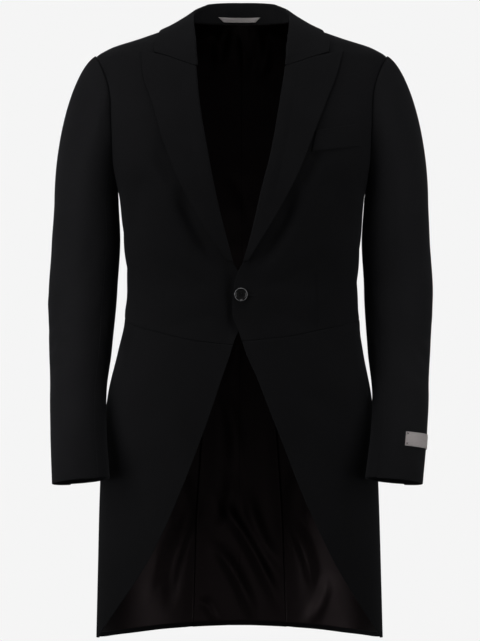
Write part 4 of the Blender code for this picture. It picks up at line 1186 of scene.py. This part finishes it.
def make_sleeve_half(name, side, first, last, cuff_rise):
    """One of the sleeve's two pieces, between two seams given in degrees."""
    head = close_ends(HEAD_LENGTH, SLEEVE_STEP, last=False) / HEAD_LENGTH
    walk = close_ends(-CUFF - cuff_rise, SLEEVE_STEP, first=False)
    below = sleeve_place(np.concatenate([[UPPER_ARM], -walk]))
    places = np.concatenate([head, below[below > 1]])
    heights = np.where(places <= 1, between(ARMHOLE_TOP, UPPER_ARM, places), sleeve_height(places))
    start = np.radians(first(heights))
    end = np.radians(last(heights))
    length = (end - start) * SLEEVE_RADIUS
    close = np.array(EDGE_STEPS)
    turns = []
    distances = []
    for begin, finish, span in zip(start, end, length):
        middle = np.linspace(close[-1], span - close[-1], COLUMNS[name])[1:-1]
        place = np.concatenate([close, middle, span - close[::-1]])
        turns.append(begin + (finish - begin) * place / span)
        distances.append(place)
    turns = np.array(turns)
    distances = np.array(distances)
    down = np.repeat(places[:, None], turns.shape[1], axis=1)
    walked = np.where(places <= 1, places * HEAD_LENGTH, HEAD_LENGTH + UPPER_ARM - heights)[:, None]
    drop = np.maximum(rounded(distances, *SLEEVE_SEAM_ROUND),
                      rounded(length[:, None] - distances, *SLEEVE_SEAM_ROUND))
    drop = np.maximum(drop, rounded(walked, *SEAM_ROUND))
    foot = rounded(walked[-1] - walked, *FOLD_ROUND)
    folds = sleeve_folds(side, turns, down)
    outer = on_sleeve(side, turns, down, CLOTH / 2 - np.maximum(drop, foot) + folds)
    inner = on_sleeve(side, turns, down, -CLOTH / 2 + foot + folds)
    uv = flat_place(turns * SLEEVE_RADIUS, -walked)
    hidden_outer = [allowance(side, turns[0], grown, lift) for grown, lift in ALLOWANCE]
    hidden_inner = [allowance(side, turns[0], grown, lift - ALLOWANCE_CLOTH) for grown, lift in ALLOWANCE]
    hidden_uv = [uv[0] + np.array([0, grown * MM]) for grown, _ in ALLOWANCE]
    shell(sided(name + "_shell", side), sided(name, side), np.concatenate([hidden_outer, outer]),
          np.concatenate([hidden_inner, inner]), np.concatenate([hidden_uv, uv]), WOOL)


def sleeve_back_degrees(height):
    """Degrees round the sleeve of its back seam."""
    return read(SLEEVE_BACK, VALUE, height)


def front_seam_degrees(height):
    """Degrees round the sleeve of its front seam."""
    return np.full_like(height, FRONT_SEAM_ANGLE)


def make_sleeve(side):
    """Two-piece sleeve, open at the cuff."""
    make_sleeve_half("top_sleeve", side, lambda height: sleeve_back_degrees(height) - 360,
                     front_seam_degrees, 0.0)
    make_sleeve_half("under_sleeve", side, front_seam_degrees, sleeve_back_degrees, UNDER_SLEEVE_RISE)


def make_vent():
    """Strip of the right back behind the vent's edge, between the left back and its lining."""
    levels = levels_between(2 + VENT_TOP_SHARE, 3)
    close = np.array(EDGE_STEPS)
    middle = np.linspace(-VENT_OVER + VENT_MARGIN, VENT_UNDER - VENT_MARGIN, VENT_COLUMNS)
    x = np.concatenate([-VENT_OVER + close, middle, VENT_UNDER - close[::-1]])
    heights = level_height(LEFT, levels[:, None], np.full((len(levels), len(x)), math.pi))
    angles = angle_at(LEFT, section("centre", heights) + x[None, :], heights, back=True)
    edge = np.minimum(x + VENT_OVER, VENT_UNDER - x)[None, :]
    foot = heights - heights[-1:]
    drop = np.maximum(rounded(edge, *FOLD_ROUND), rounded(foot, *FOLD_ROUND))
    folds = body_folds(LEFT, angles, heights)
    outer = on_body(LEFT, angles, heights, folds - LINING_DEPTH + VENT_LIFTS[0] - drop)
    inner = on_body(LEFT, angles, heights, folds - LINING_DEPTH + VENT_LIFTS[1])
    shell("vent_underlap_shell", "vent_underlap", outer, inner, flat_place(x, heights), WOOL)


def make_chest_welt():
    """Slanted welt of the chest pocket, lying on the left forepart."""
    wide, tall = WELT_SIZE
    down = (close_ends(tall, WELT_STEP) / tall)[:, None]
    across = (close_ends(wide, WELT_STEP) / wide)[None, :]
    top = between(*np.array(WELT_TOP), across[..., None])
    foot = between(*np.array(WELT_FOOT), across[..., None])
    place = between(top, foot, down[..., None])
    x, height = place[..., 0], place[..., 1]
    angle = angle_at(LEFT, x, height)
    edge = np.minimum(np.minimum(across, 1 - across) * wide, np.minimum(down, 1 - down) * tall)
    base = body_folds(LEFT, angle, height) + WELT_LIFT
    outer = on_body(LEFT, angle, height, base + WELT_CLOTH - rounded(edge, *WELT_ROUND))
    inner = on_body(LEFT, angle, height, base)
    shell("chest_welt_shell", "chest_welt", outer, inner, place * MM, WOOL)


def round_faces(rows, segments):
    """Faces of a grid of points whose rows are closed rings."""
    index = np.arange(rows * segments).reshape(rows, segments)
    following = np.roll(index, -1, axis=1)
    return quads(index[:-1], following[:-1], following[1:], index[1:])


def lathe(profile, segments):
    """Vertices and faces of a body turned round the z axis, open at its ends."""
    turns = np.linspace(0, 2 * math.pi, segments, endpoint=False)
    circle = np.stack([np.cos(turns), np.sin(turns)], axis=-1)
    rings = [np.column_stack([circle * radius, np.full(segments, height)]) for radius, height in profile]
    return np.concatenate(rings), round_faces(len(profile), segments)


def tube(points, radius):
    """Vertices and faces of a round thread along a line of points, thinner at its ends."""
    points = np.asarray(points, float)
    way = unit(np.gradient(points, axis=0))
    helper = np.where(np.abs(way[:, 2:]) < 0.9, [[0, 0, 1.0]], [[1.0, 0, 0]])
    first = unit(np.cross(way, helper))
    second = np.cross(way, first)
    turns = np.linspace(0, 2 * math.pi, THREAD_SIDES, endpoint=False)
    share = np.linspace(0, 1, len(points))
    thin = radius * np.sqrt(np.clip(1 - (2 * share - 1) ** 8, 0.02, 1))
    round_it = first[:, None] * np.cos(turns)[None, :, None] + second[:, None] * np.sin(turns)[None, :, None]
    rings = points[:, None] + thin[:, None, None] * round_it
    return rings.reshape(-1, 3), round_faces(len(points), THREAD_SIDES)


def joined(parts):
    """Several sets of vertices and faces as one."""
    vertices = []
    faces = []
    count = 0
    for points, corners in parts:
        vertices.append(points)
        faces.append(corners + count)
        count += len(points)
    return np.concatenate(vertices), np.concatenate(faces)


def placed(points, seat, out):
    """Points turned so that z runs along a direction, and moved to a seat."""
    out = out / np.linalg.norm(out)
    side_way = unit(np.cross(out, UP))
    up_way = np.cross(side_way, out)
    return seat + points[:, :1] * side_way + points[:, 1:2] * up_way + points[:, 2:] * out


def cap_ends(piece):
    """Close the open ends of a turned or tubular mesh."""
    bm = bmesh.new()
    bm.from_mesh(piece.data)
    bmesh.ops.holes_fill(bm, edges=[edge for edge in bm.edges if edge.is_boundary], sides=0)
    bmesh.ops.recalc_face_normals(bm, faces=bm.faces[:])
    bm.to_mesh(piece.data)
    bm.free()


def cut_out(body, cutter):
    """Cut one mesh object out of another and remove the cutter."""
    cut = body.modifiers.new("holes", "BOOLEAN")
    cut.object = cutter
    cut.operation = "DIFFERENCE"
    cut.solver = "EXACT"
    graph = bpy.context.evaluated_depsgraph_get()
    mesh = bpy.data.meshes.new_from_object(body.evaluated_get(graph))
    body.modifiers.clear()
    body.data = mesh
    bpy.data.objects.remove(cutter)


def add_thread(name, parts):
    """Threads in mm as one piece."""
    points, faces = joined(parts)
    piece = mesh_object(name, points * MM, faces, THREAD)
    cap_ends(piece)
    add_piece(piece, WOOL)


def make_button(kind, tail, size, seat, out):
    """Turned button with a raised rim that carries a painted highlight, four holes and a cross of thread."""
    radius, thickness = size
    name = kind + "_turned" + tail
    points, faces = lathe([(r * radius, z * thickness) for r, z in BUTTON_OUTLINE], BUTTON_SIDES)
    body = mesh_object(name, placed(points, seat, out) * MM, faces, HORN)
    cap_ends(body)
    holes = []
    for k in range(4):
        turn = math.radians(45 + 90 * k)
        middle = np.array([math.cos(turn), math.sin(turn), 0]) * HOLE_PLACE * math.sqrt(2) * radius
        hole = [(HOLE_RADIUS * radius, -1.0), (HOLE_RADIUS * radius, thickness + 1.0)]
        rod, rod_faces = lathe(hole, HOLE_SIDES)
        holes.append((rod + middle, rod_faces))
    rods, rod_faces = joined(holes)
    cutter = mesh_object(name + "_holes", placed(rods, seat, out) * MM, rod_faces, HORN)
    cap_ends(cutter)
    cut_out(body, cutter)
    body.data.shade_smooth()
    body.data.set_sharp_from_angle(angle=math.radians(SHARP_ANGLE))
    # The rim's upper outer faces get the painted highlight
    paint_rim_highlight(body, size, seat, out / np.linalg.norm(out))
    add_piece(body, HORN, kind + tail)
    make_button_thread(name + "_thread", size, seat, out)


def paint_rim_highlight(body, size, seat, way):
    """Give the upper outer faces of a button the light grey rim material, a painted highlight for the lights'
    reflection on the polished rim.
    """
    radius, thickness = size
    body.data.materials.append(MATERIALS[PAINTED_HIGHLIGHT])
    for face in body.data.polygons:
        away = np.array(face.center) / MM - seat
        height = away @ way
        if np.linalg.norm(away - way * height) > PAINTED_RIM_SHARE * radius and height > 0.5 * thickness:
            face.material_index = 1


def make_button_thread(name, size, seat, out):
    """The thread that holds a button: a cross through the holes and a neck under it."""
    radius, thickness = size
    reach = HOLE_PLACE * radius
    share = np.linspace(0, 1, THREAD_POINTS)
    parts = []
    for start, end, extra in THREAD_CROSS:
        for offset in THREAD_OFFSETS:
            x = reach * between(start[0], end[0], share) + offset
            y = reach * between(start[1], end[1], share) - offset * start[0] * start[1]
            z = thickness * 0.25 + (thickness * 0.24 + 0.3 + extra) * np.sin(math.pi * share) ** 0.35
            parts.append(tube(np.stack([x, y, z], axis=-1), THREAD_RADIUS))
    parts.append(lathe(THREAD_NECK, THREAD_NECK_SIDES))
    add_thread(name, [(placed(points, seat, out), faces) for points, faces in parts])


def make_front_button():
    """The one button of the front."""
    x, height = FRONT_BUTTON_PLACE
    angle = angle_at(LEFT, np.asarray(x), height)
    seat = on_body(LEFT, angle, height, float(lap_lift(LEFT, x, height)) + BUTTON_SEAT)
    make_button("front_button", "", FRONT_BUTTON, seat, normal(LEFT, angle, height))


def make_waist_button(side):
    """Button at the top of a side pleat."""
    height = np.asarray(float(read(WAIST, VALUE, WAIST_BUTTON_AT)) - WAIST_BUTTON_DROP)
    angle = side_back_seam(side, height) + math.radians(WAIST_BUTTON_TURN)
    seat = on_body(side, angle, height, PLEAT_LIFT + 2 * BUTTON_SEAT)
    make_button("waist_button", sided("", side), WAIST_BUTTON, seat, normal(side, angle, height))


def cuff_button_turn(height):
    """The turn round the sleeve of a cuff button at a height."""
    return math.radians(float(sleeve_back_degrees(height)) - 360 + CUFF_BUTTON_TURN)


def make_cuff_buttons(side):
    """Buttons beside the back seam above the cuff."""
    for number, height in enumerate(CUFF_BUTTON_HEIGHTS, start=1):
        turn = np.asarray(cuff_button_turn(height))
        place = sleeve_place(height)
        seat = on_sleeve(side, turn, place, CLOTH / 2 + BUTTON_SEAT)
        out = seat - on_sleeve(side, turn, place, 0.0)
        make_button("cuff_button", "%s_%d" % (sided("", side), number), CUFF_BUTTON, seat, out)


def stand_depth(x, height):
    """y of the middle of the collar's stand near the centre back."""
    lines = np.array([collar_line(LEFT, station) for station in np.linspace(*STAND_STATIONS)])
    lines = lines[:, :len(STAND_SHARES)]
    depth = np.empty(np.broadcast_shapes(x.shape, height.shape))
    for index in np.ndindex(depth.shape):
        level = float(np.broadcast_to(height, depth.shape)[index])
        across = [np.interp(level, line[:, 2], line[:, 0]) for line in lines]
        deep = [np.interp(level, line[:, 2], line[:, 1]) for line in lines]
        depth[index] = np.interp(float(np.broadcast_to(x, depth.shape)[index]), across, deep)
    return depth


def make_neck_label():
    """Blank label on the inside of the collar's stand."""
    down = np.linspace(0, 1, NECK_LABEL_GRID[0])[:, None]
    width = between(NECK_LABEL_TOP[0], NECK_LABEL_FOOT[0], down)
    heights = between(NECK_LABEL_TOP[1], NECK_LABEL_FOOT[1], down)
    shares = np.linspace(-1, 1, NECK_LABEL_GRID[1])[None, :]
    x = NECK_LABEL_SHIFT - width * shares
    y = stand_depth(np.abs(x), heights + 0 * shares) - COLLAR_CLOTH / 2 - SEAM_GAP
    outer = np.stack(np.broadcast_arrays(x, y, heights), axis=-1)
    inner = outer - np.array([0, LABEL_CLOTH, 0])
    shell("neck_label_ribbon", "neck_label", outer, inner, flat_place(x, heights), RIBBON)


def make_sleeve_label():
    """Blank label sewn round the outer side of the left cuff."""
    first, last = np.radians(SLEEVE_LABEL_ANGLES)
    heights = np.linspace(*SLEEVE_LABEL_HEIGHTS, SLEEVE_LABEL_GRID[0])[:, None]
    turns = np.linspace(first, last, SLEEVE_LABEL_GRID[1])[None, :]
    turns, heights = np.broadcast_arrays(turns, heights)
    places = sleeve_place(heights)
    base = CLOTH / 2 + LABEL_SEAT + sleeve_folds(LEFT, turns, places)
    buckle = LABEL_BUCKLE * np.sin((turns - first) / (last - first) * math.pi) ** 2
    outer = on_sleeve(LEFT, turns, places, base + buckle + LABEL_CLOTH)
    inner = on_sleeve(LEFT, turns, places, base + buckle)
    uv = flat_place(turns * SLEEVE_RADIUS, heights)
    shell("sleeve_label_ribbon", "sleeve_label", outer, inner, uv, RIBBON)


def make_label_stitches():
    """Tacking stitches at the sleeve label's corners."""
    parts = []
    first, last = SLEEVE_LABEL_ANGLES
    top, foot = SLEEVE_LABEL_HEIGHTS
    share = np.linspace(-1, 1, STITCH_POINTS)
    lift = CLOTH / 2 + LABEL_SEAT + LABEL_CLOTH + STITCH_LIFT * np.cos(share * math.pi / 2)
    for degrees in (first + STITCH_INSET[0], last - STITCH_INSET[0]):
        for height in (top - STITCH_INSET[1], foot + STITCH_INSET[1]):
            for lean in (-1.0, 1.0):
                turns = np.radians(degrees + share * STITCH_HALF[0])
                heights = height + share * STITCH_HALF[1] * lean
                parts.append(tube(on_sleeve(LEFT, turns, sleeve_place(heights), lift), STITCH_RADIUS))
    add_thread("sleeve_label_stitches", parts)


def buttonhole_line(length, half):
    """Outline of a buttonhole: a narrow loop, as places along and across it."""
    turns = np.linspace(0, 2 * math.pi, 49)
    along = length / 2 * (1 + np.sign(np.cos(turns)) * np.abs(np.cos(turns)) ** 0.4)
    return along, half * np.sign(np.sin(turns)) * np.abs(np.sin(turns)) ** 0.4


def make_buttonholes():
    """Worked buttonholes: one in the left front and four mock ones on each cuff."""
    length, half, radius, rise, before = FRONT_HOLE
    x, height = FRONT_BUTTON_PLACE
    along, across = buttonhole_line(length, half)
    hole_x = x - before + along
    hole_height = height + across - FRONT_HOLE_SLOPE * along
    angle = angle_at(LEFT, hole_x, hole_height)
    lift = lap_lift(LEFT, hole_x, hole_height) + body_folds(LEFT, angle, hole_height) + rise
    parts = [tube(on_body(LEFT, angle, hole_height, lift), radius)]
    length, half, radius, rise, before = CUFF_HOLE
    along, across = buttonhole_line(length, half)
    for side in (LEFT, RIGHT):
        for button_height in CUFF_BUTTON_HEIGHTS:
            turns = cuff_button_turn(button_height) + (along - before) / SLEEVE_RADIUS
            places = sleeve_place(button_height + across)
            lift = CLOTH / 2 + sleeve_folds(side, turns, places) + rise
            parts.append(tube(on_sleeve(side, turns, places, lift), radius))
    add_thread("buttonhole_stitching", parts)


def new_material(name):
    """Make a node material, keep it under its name, and return its tree and shader."""
    material = bpy.data.materials.new(name)
    material.use_nodes = True
    MATERIALS[name] = material
    return material.node_tree, material.node_tree.nodes["Principled BSDF"]


def add_node(tree, kind, **inputs):
    """A node with some of its inputs set; names with spaces use underscores."""
    node = tree.nodes.new(kind)
    for name, value in inputs.items():
        node.inputs[name.replace("_", " ")].default_value = value
    return node


def cloth_coordinates(tree):
    """The flat cloth's own coordinates in metres."""
    node = tree.nodes.new("ShaderNodeUVMap")
    node.uv_map = "cloth"
    return node.outputs["UV"]


def object_coordinates(tree):
    """The object's own coordinates in metres."""
    return tree.nodes.new("ShaderNodeTexCoord").outputs["Object"]


def bands(tree, source, period, angle, distortion):
    """Soft stripes of a given period in metres, turned by an angle in degrees."""
    turned = add_node(tree, "ShaderNodeMapping", Rotation=(0, 0, math.radians(angle)))
    tree.links.new(source, turned.inputs["Vector"])
    wave = add_node(tree, "ShaderNodeTexWave", Scale=2 * math.pi / (20 * period), Distortion=distortion,
                    Detail=2.0, Detail_Scale=1.5)
    tree.links.new(turned.outputs["Vector"], wave.inputs["Vector"])
    return wave.outputs["Fac"]


def noise(tree, source, size, detail=3.0):
    """Cloudy variation of about a given size in metres."""
    node = add_node(tree, "ShaderNodeTexNoise", Scale=1 / size, Detail=detail, Roughness=0.55)
    tree.links.new(source, node.inputs["Vector"])
    return node.outputs["Fac"]


def math_node(tree, operation, first, second):
    """Result of a sum or product of two values, each an output or a number."""
    node = tree.nodes.new("ShaderNodeMath")
    node.operation = operation
    for slot_number, value in enumerate((first, second)):
        if isinstance(value, (int, float)):
            node.inputs[slot_number].default_value = value
        else:
            tree.links.new(value, node.inputs[slot_number])
    return node.outputs[0]


def mixed(tree, *shares):
    """Sum of several outputs, each times its share."""
    total = math_node(tree, "MULTIPLY", *shares[0])
    for value, share in shares[1:]:
        total = math_node(tree, "ADD", total, math_node(tree, "MULTIPLY", value, share))
    return total


def bump(tree, height, distance, strength, before=None):
    """Surface relief from a height value, in metres."""
    node = add_node(tree, "ShaderNodeBump", Strength=strength, Distance=distance)
    tree.links.new(height, node.inputs["Height"])
    if before is not None:
        tree.links.new(before, node.inputs["Normal"])
    return node.outputs["Normal"]


def colour_ramp(tree, factor, tones, span):
    """A colour between two tones, by a factor that runs over a span."""
    node = tree.nodes.new("ShaderNodeValToRGB")
    for element, tone, position in zip(node.color_ramp.elements, tones, span):
        element.position = position
        element.color = (*tone, 1.0)
    tree.links.new(factor, node.inputs["Fac"])
    return node.outputs["Color"]


def dress(tree, shader, colour, rough, relief, **settings):
    """Set a shader's colour, roughness, relief and other inputs; names with spaces use underscores."""
    least, factor, gain = rough
    tree.links.new(colour, shader.inputs["Base Color"])
    tree.links.new(math_node(tree, "ADD", least, math_node(tree, "MULTIPLY", factor, gain)),
                   shader.inputs["Roughness"])
    tree.links.new(relief, shader.inputs["Normal"])
    for name, value in settings.items():
        shader.inputs[name.replace("_", " ")].default_value = value


def make_wool():
    """Matt black worsted with a fine twill, a little nap and faint clouds."""
    tree, shader = new_material(WOOL)
    place = cloth_coordinates(tree)
    twill = bands(tree, place, 0.0009, 52, 0.4)
    yarn = bands(tree, place, 0.00055, -8, 0.6)
    weave = mixed(tree, (twill, 0.65), (yarn, 0.35))
    clouds = noise(tree, place, 0.05)
    fibres = noise(tree, place, 0.0012, 4.0)
    tone = mixed(tree, (weave, 0.45), (clouds, 0.4), (fibres, 0.15))
    relief = bump(tree, weave, 0.00014, 0.6, bump(tree, fibres, 0.00010, 0.35))
    dress(tree, shader, colour_ramp(tree, tone, WOOL_TONES, (0.2, 0.8)), (0.72, fibres, 0.2), relief,
          Specular_IOR_Level=0.16, Sheen_Weight=0.05, Sheen_Roughness=0.45, Sheen_Tint=(0.9, 0.93, 1.0, 1.0))


def make_satin():
    """Reddish black satin lining with fine warp lines and a soft gloss."""
    tree, shader = new_material(SATIN)
    place = cloth_coordinates(tree)
    warp = bands(tree, place, 0.0005, 0, 0.3)
    clouds = noise(tree, place, 0.035)
    tone = mixed(tree, (warp, 0.3), (clouds, 0.7))
    dress(tree, shader, colour_ramp(tree, tone, SATIN_TONES, (0.2, 0.8)), (0.30, clouds, 0.12),
          bump(tree, warp, 0.00006, 0.35), Specular_IOR_Level=0.30, Specular_Tint=(1.0, 0.80, 0.83, 1.0))


def make_horn(name, tones, grain, rough, rough_gain, depth, coat):
    """Polished horn with faint streaks: dark for the buttons, or light grey for their rims as a painted
    highlight.
    """
    tree, shader = new_material(name)
    streaks = noise(tree, object_coordinates(tree), grain, 5.0)
    dress(tree, shader, colour_ramp(tree, streaks, tones, (0.35, 0.75)), (rough, streaks, rough_gain),
          bump(tree, streaks, depth, 0.2), Coat_Weight=coat, Coat_Roughness=0.08)


def make_ribbon():
    """Blank grey woven ribbon with fine ribs."""
    tree, shader = new_material(RIBBON)
    place = cloth_coordinates(tree)
    ribs = bands(tree, place, 0.0008, 90, 0.2)
    warp = bands(tree, place, 0.0006, 0, 0.2)
    weave = mixed(tree, (ribs, 0.6), (warp, 0.4))
    tone = mixed(tree, (weave, 0.6), (noise(tree, place, 0.012), 0.4))
    dress(tree, shader, colour_ramp(tree, tone, RIBBON_TONES, (0.2, 0.8)), (0.5, weave, 0.2),
          bump(tree, weave, 0.00018, 0.6), Specular_IOR_Level=0.3)


def make_thread():
    """Black twisted thread."""
    tree, shader = new_material(THREAD)
    twist = bands(tree, object_coordinates(tree), 0.0006, 35, 0.5)
    dress(tree, shader, colour_ramp(tree, twist, THREAD_TONES, (0.0, 1.0)), (0.5, twist, 0.15),
          bump(tree, twist, 0.0001, 0.6), Specular_IOR_Level=0.2)


def stage_material(name, lit_radius):
    """Pale studio paper: evenly bright, and softly lit within a radius if there is one."""
    tree, shader = new_material(name)
    surface_input = tree.nodes["Material Output"].inputs["Surface"]
    glow = add_node(tree, "ShaderNodeEmission", Color=(PALE, PALE, PALE, 1.0), Strength=1.0)
    tree.nodes.remove(shader)
    if lit_radius == 0:
        tree.links.new(glow.outputs["Emission"], surface_input)
        return name
    paper = add_node(tree, "ShaderNodeBsdfDiffuse", Color=(0.9, 0.9, 0.9, 1.0))
    both = tree.nodes.new("ShaderNodeMixShader")
    length = tree.nodes.new("ShaderNodeVectorMath")
    length.operation = "LENGTH"
    tree.links.new(object_coordinates(tree), length.inputs[0])
    share = add_node(tree, "ShaderNodeMapRange", From_Min=0.0, From_Max=lit_radius, To_Min=0.45, To_Max=1.0)
    tree.links.new(length.outputs["Value"], share.inputs["Value"])
    tree.links.new(share.outputs["Result"], both.inputs["Fac"])
    tree.links.new(paper.outputs["BSDF"], both.inputs[1])
    tree.links.new(glow.outputs["Emission"], both.inputs[2])
    tree.links.new(both.outputs["Shader"], surface_input)
    return name


def make_stage():
    """Pale floor well below the hem and a round pale wall."""
    for name, outline, lit_radius in (("floor", FLOOR_OUTLINE, LIT_RADIUS), ("backdrop", WALL_OUTLINE, 0)):
        points, faces = lathe(outline, STAGE_SIDES)
        piece = mesh_object(name, points, faces, stage_material(name + "_paper", lit_radius))
        piece.location.z = FLOOR_HEIGHT
        piece.visible_diffuse = False
        piece.visible_glossy = False


def add_light(name, place, target, width, height, power, spread):
    """A soft rectangular light aimed at a point."""
    data = bpy.data.lights.new(name, "AREA")
    data.shape = "RECTANGLE"
    data.size = width
    data.size_y = height
    data.energy = power
    data.spread = math.radians(spread)
    light = scene_object(name, data)
    light.location = place
    light.rotation_euler = Vector(np.subtract(target, place)).to_track_quat("-Z", "Y").to_euler()
    light.visible_camera = False


def make_lights():
    """The soft lights and a little light from all round."""
    for row in LIGHTS:
        add_light(*row)
    world = bpy.data.worlds.new("studio")
    world.use_nodes = True
    background = world.node_tree.nodes["Background"]
    background.inputs["Color"].default_value = (1.0, 1.0, 1.0, 1.0)
    background.inputs["Strength"].default_value = WORLD_LIGHT
    bpy.context.scene.world = world


def make_camera():
    """Camera level with the middle of the coat, looking straight at its front."""
    data = bpy.data.cameras.new("camera")
    data.lens = CAMERA_LENS
    camera = scene_object("camera", data)
    camera.location = CAMERA_PLACE
    camera.rotation_euler = (math.pi / 2, 0, 0)
    bpy.context.scene.camera = camera
    view = bpy.context.scene.view_settings
    view.view_transform = "Standard"
    view.look = "None"


def make_materials():
    """Every material of the coat."""
    make_wool()
    make_satin()
    make_horn(HORN, HORN_TONES, 0.006, 0.10, 0.12, 0.00005, 0.4)
    # Light grey horn for the rims: a painted highlight of the lights' reflection
    make_horn(PAINTED_HIGHLIGHT, PAINTED_HIGHLIGHT_TONES, 0.004, 0.16, 0.1, 0.00004, 0.5)
    make_ribbon()
    make_thread()


def main():
    """Make every piece of the coat, then the studio round it."""
    make_camera()
    make_materials()
    for side in (LEFT, RIGHT):
        make_forepart(side)
        make_side_body(side)
        make_back(side)
        make_skirt(side)
        make_back_lining(side)
        make_skirt_lining(side)
        make_lapel(side)
        make_sleeve(side)
        make_waist_button(side)
        make_cuff_buttons(side)
    make_vent()
    make_collar()
    make_chest_welt()
    make_front_button()
    make_neck_label()
    make_sleeve_label()
    make_label_stitches()
    make_buttonholes()
    make_stage()
    make_lights()


main()
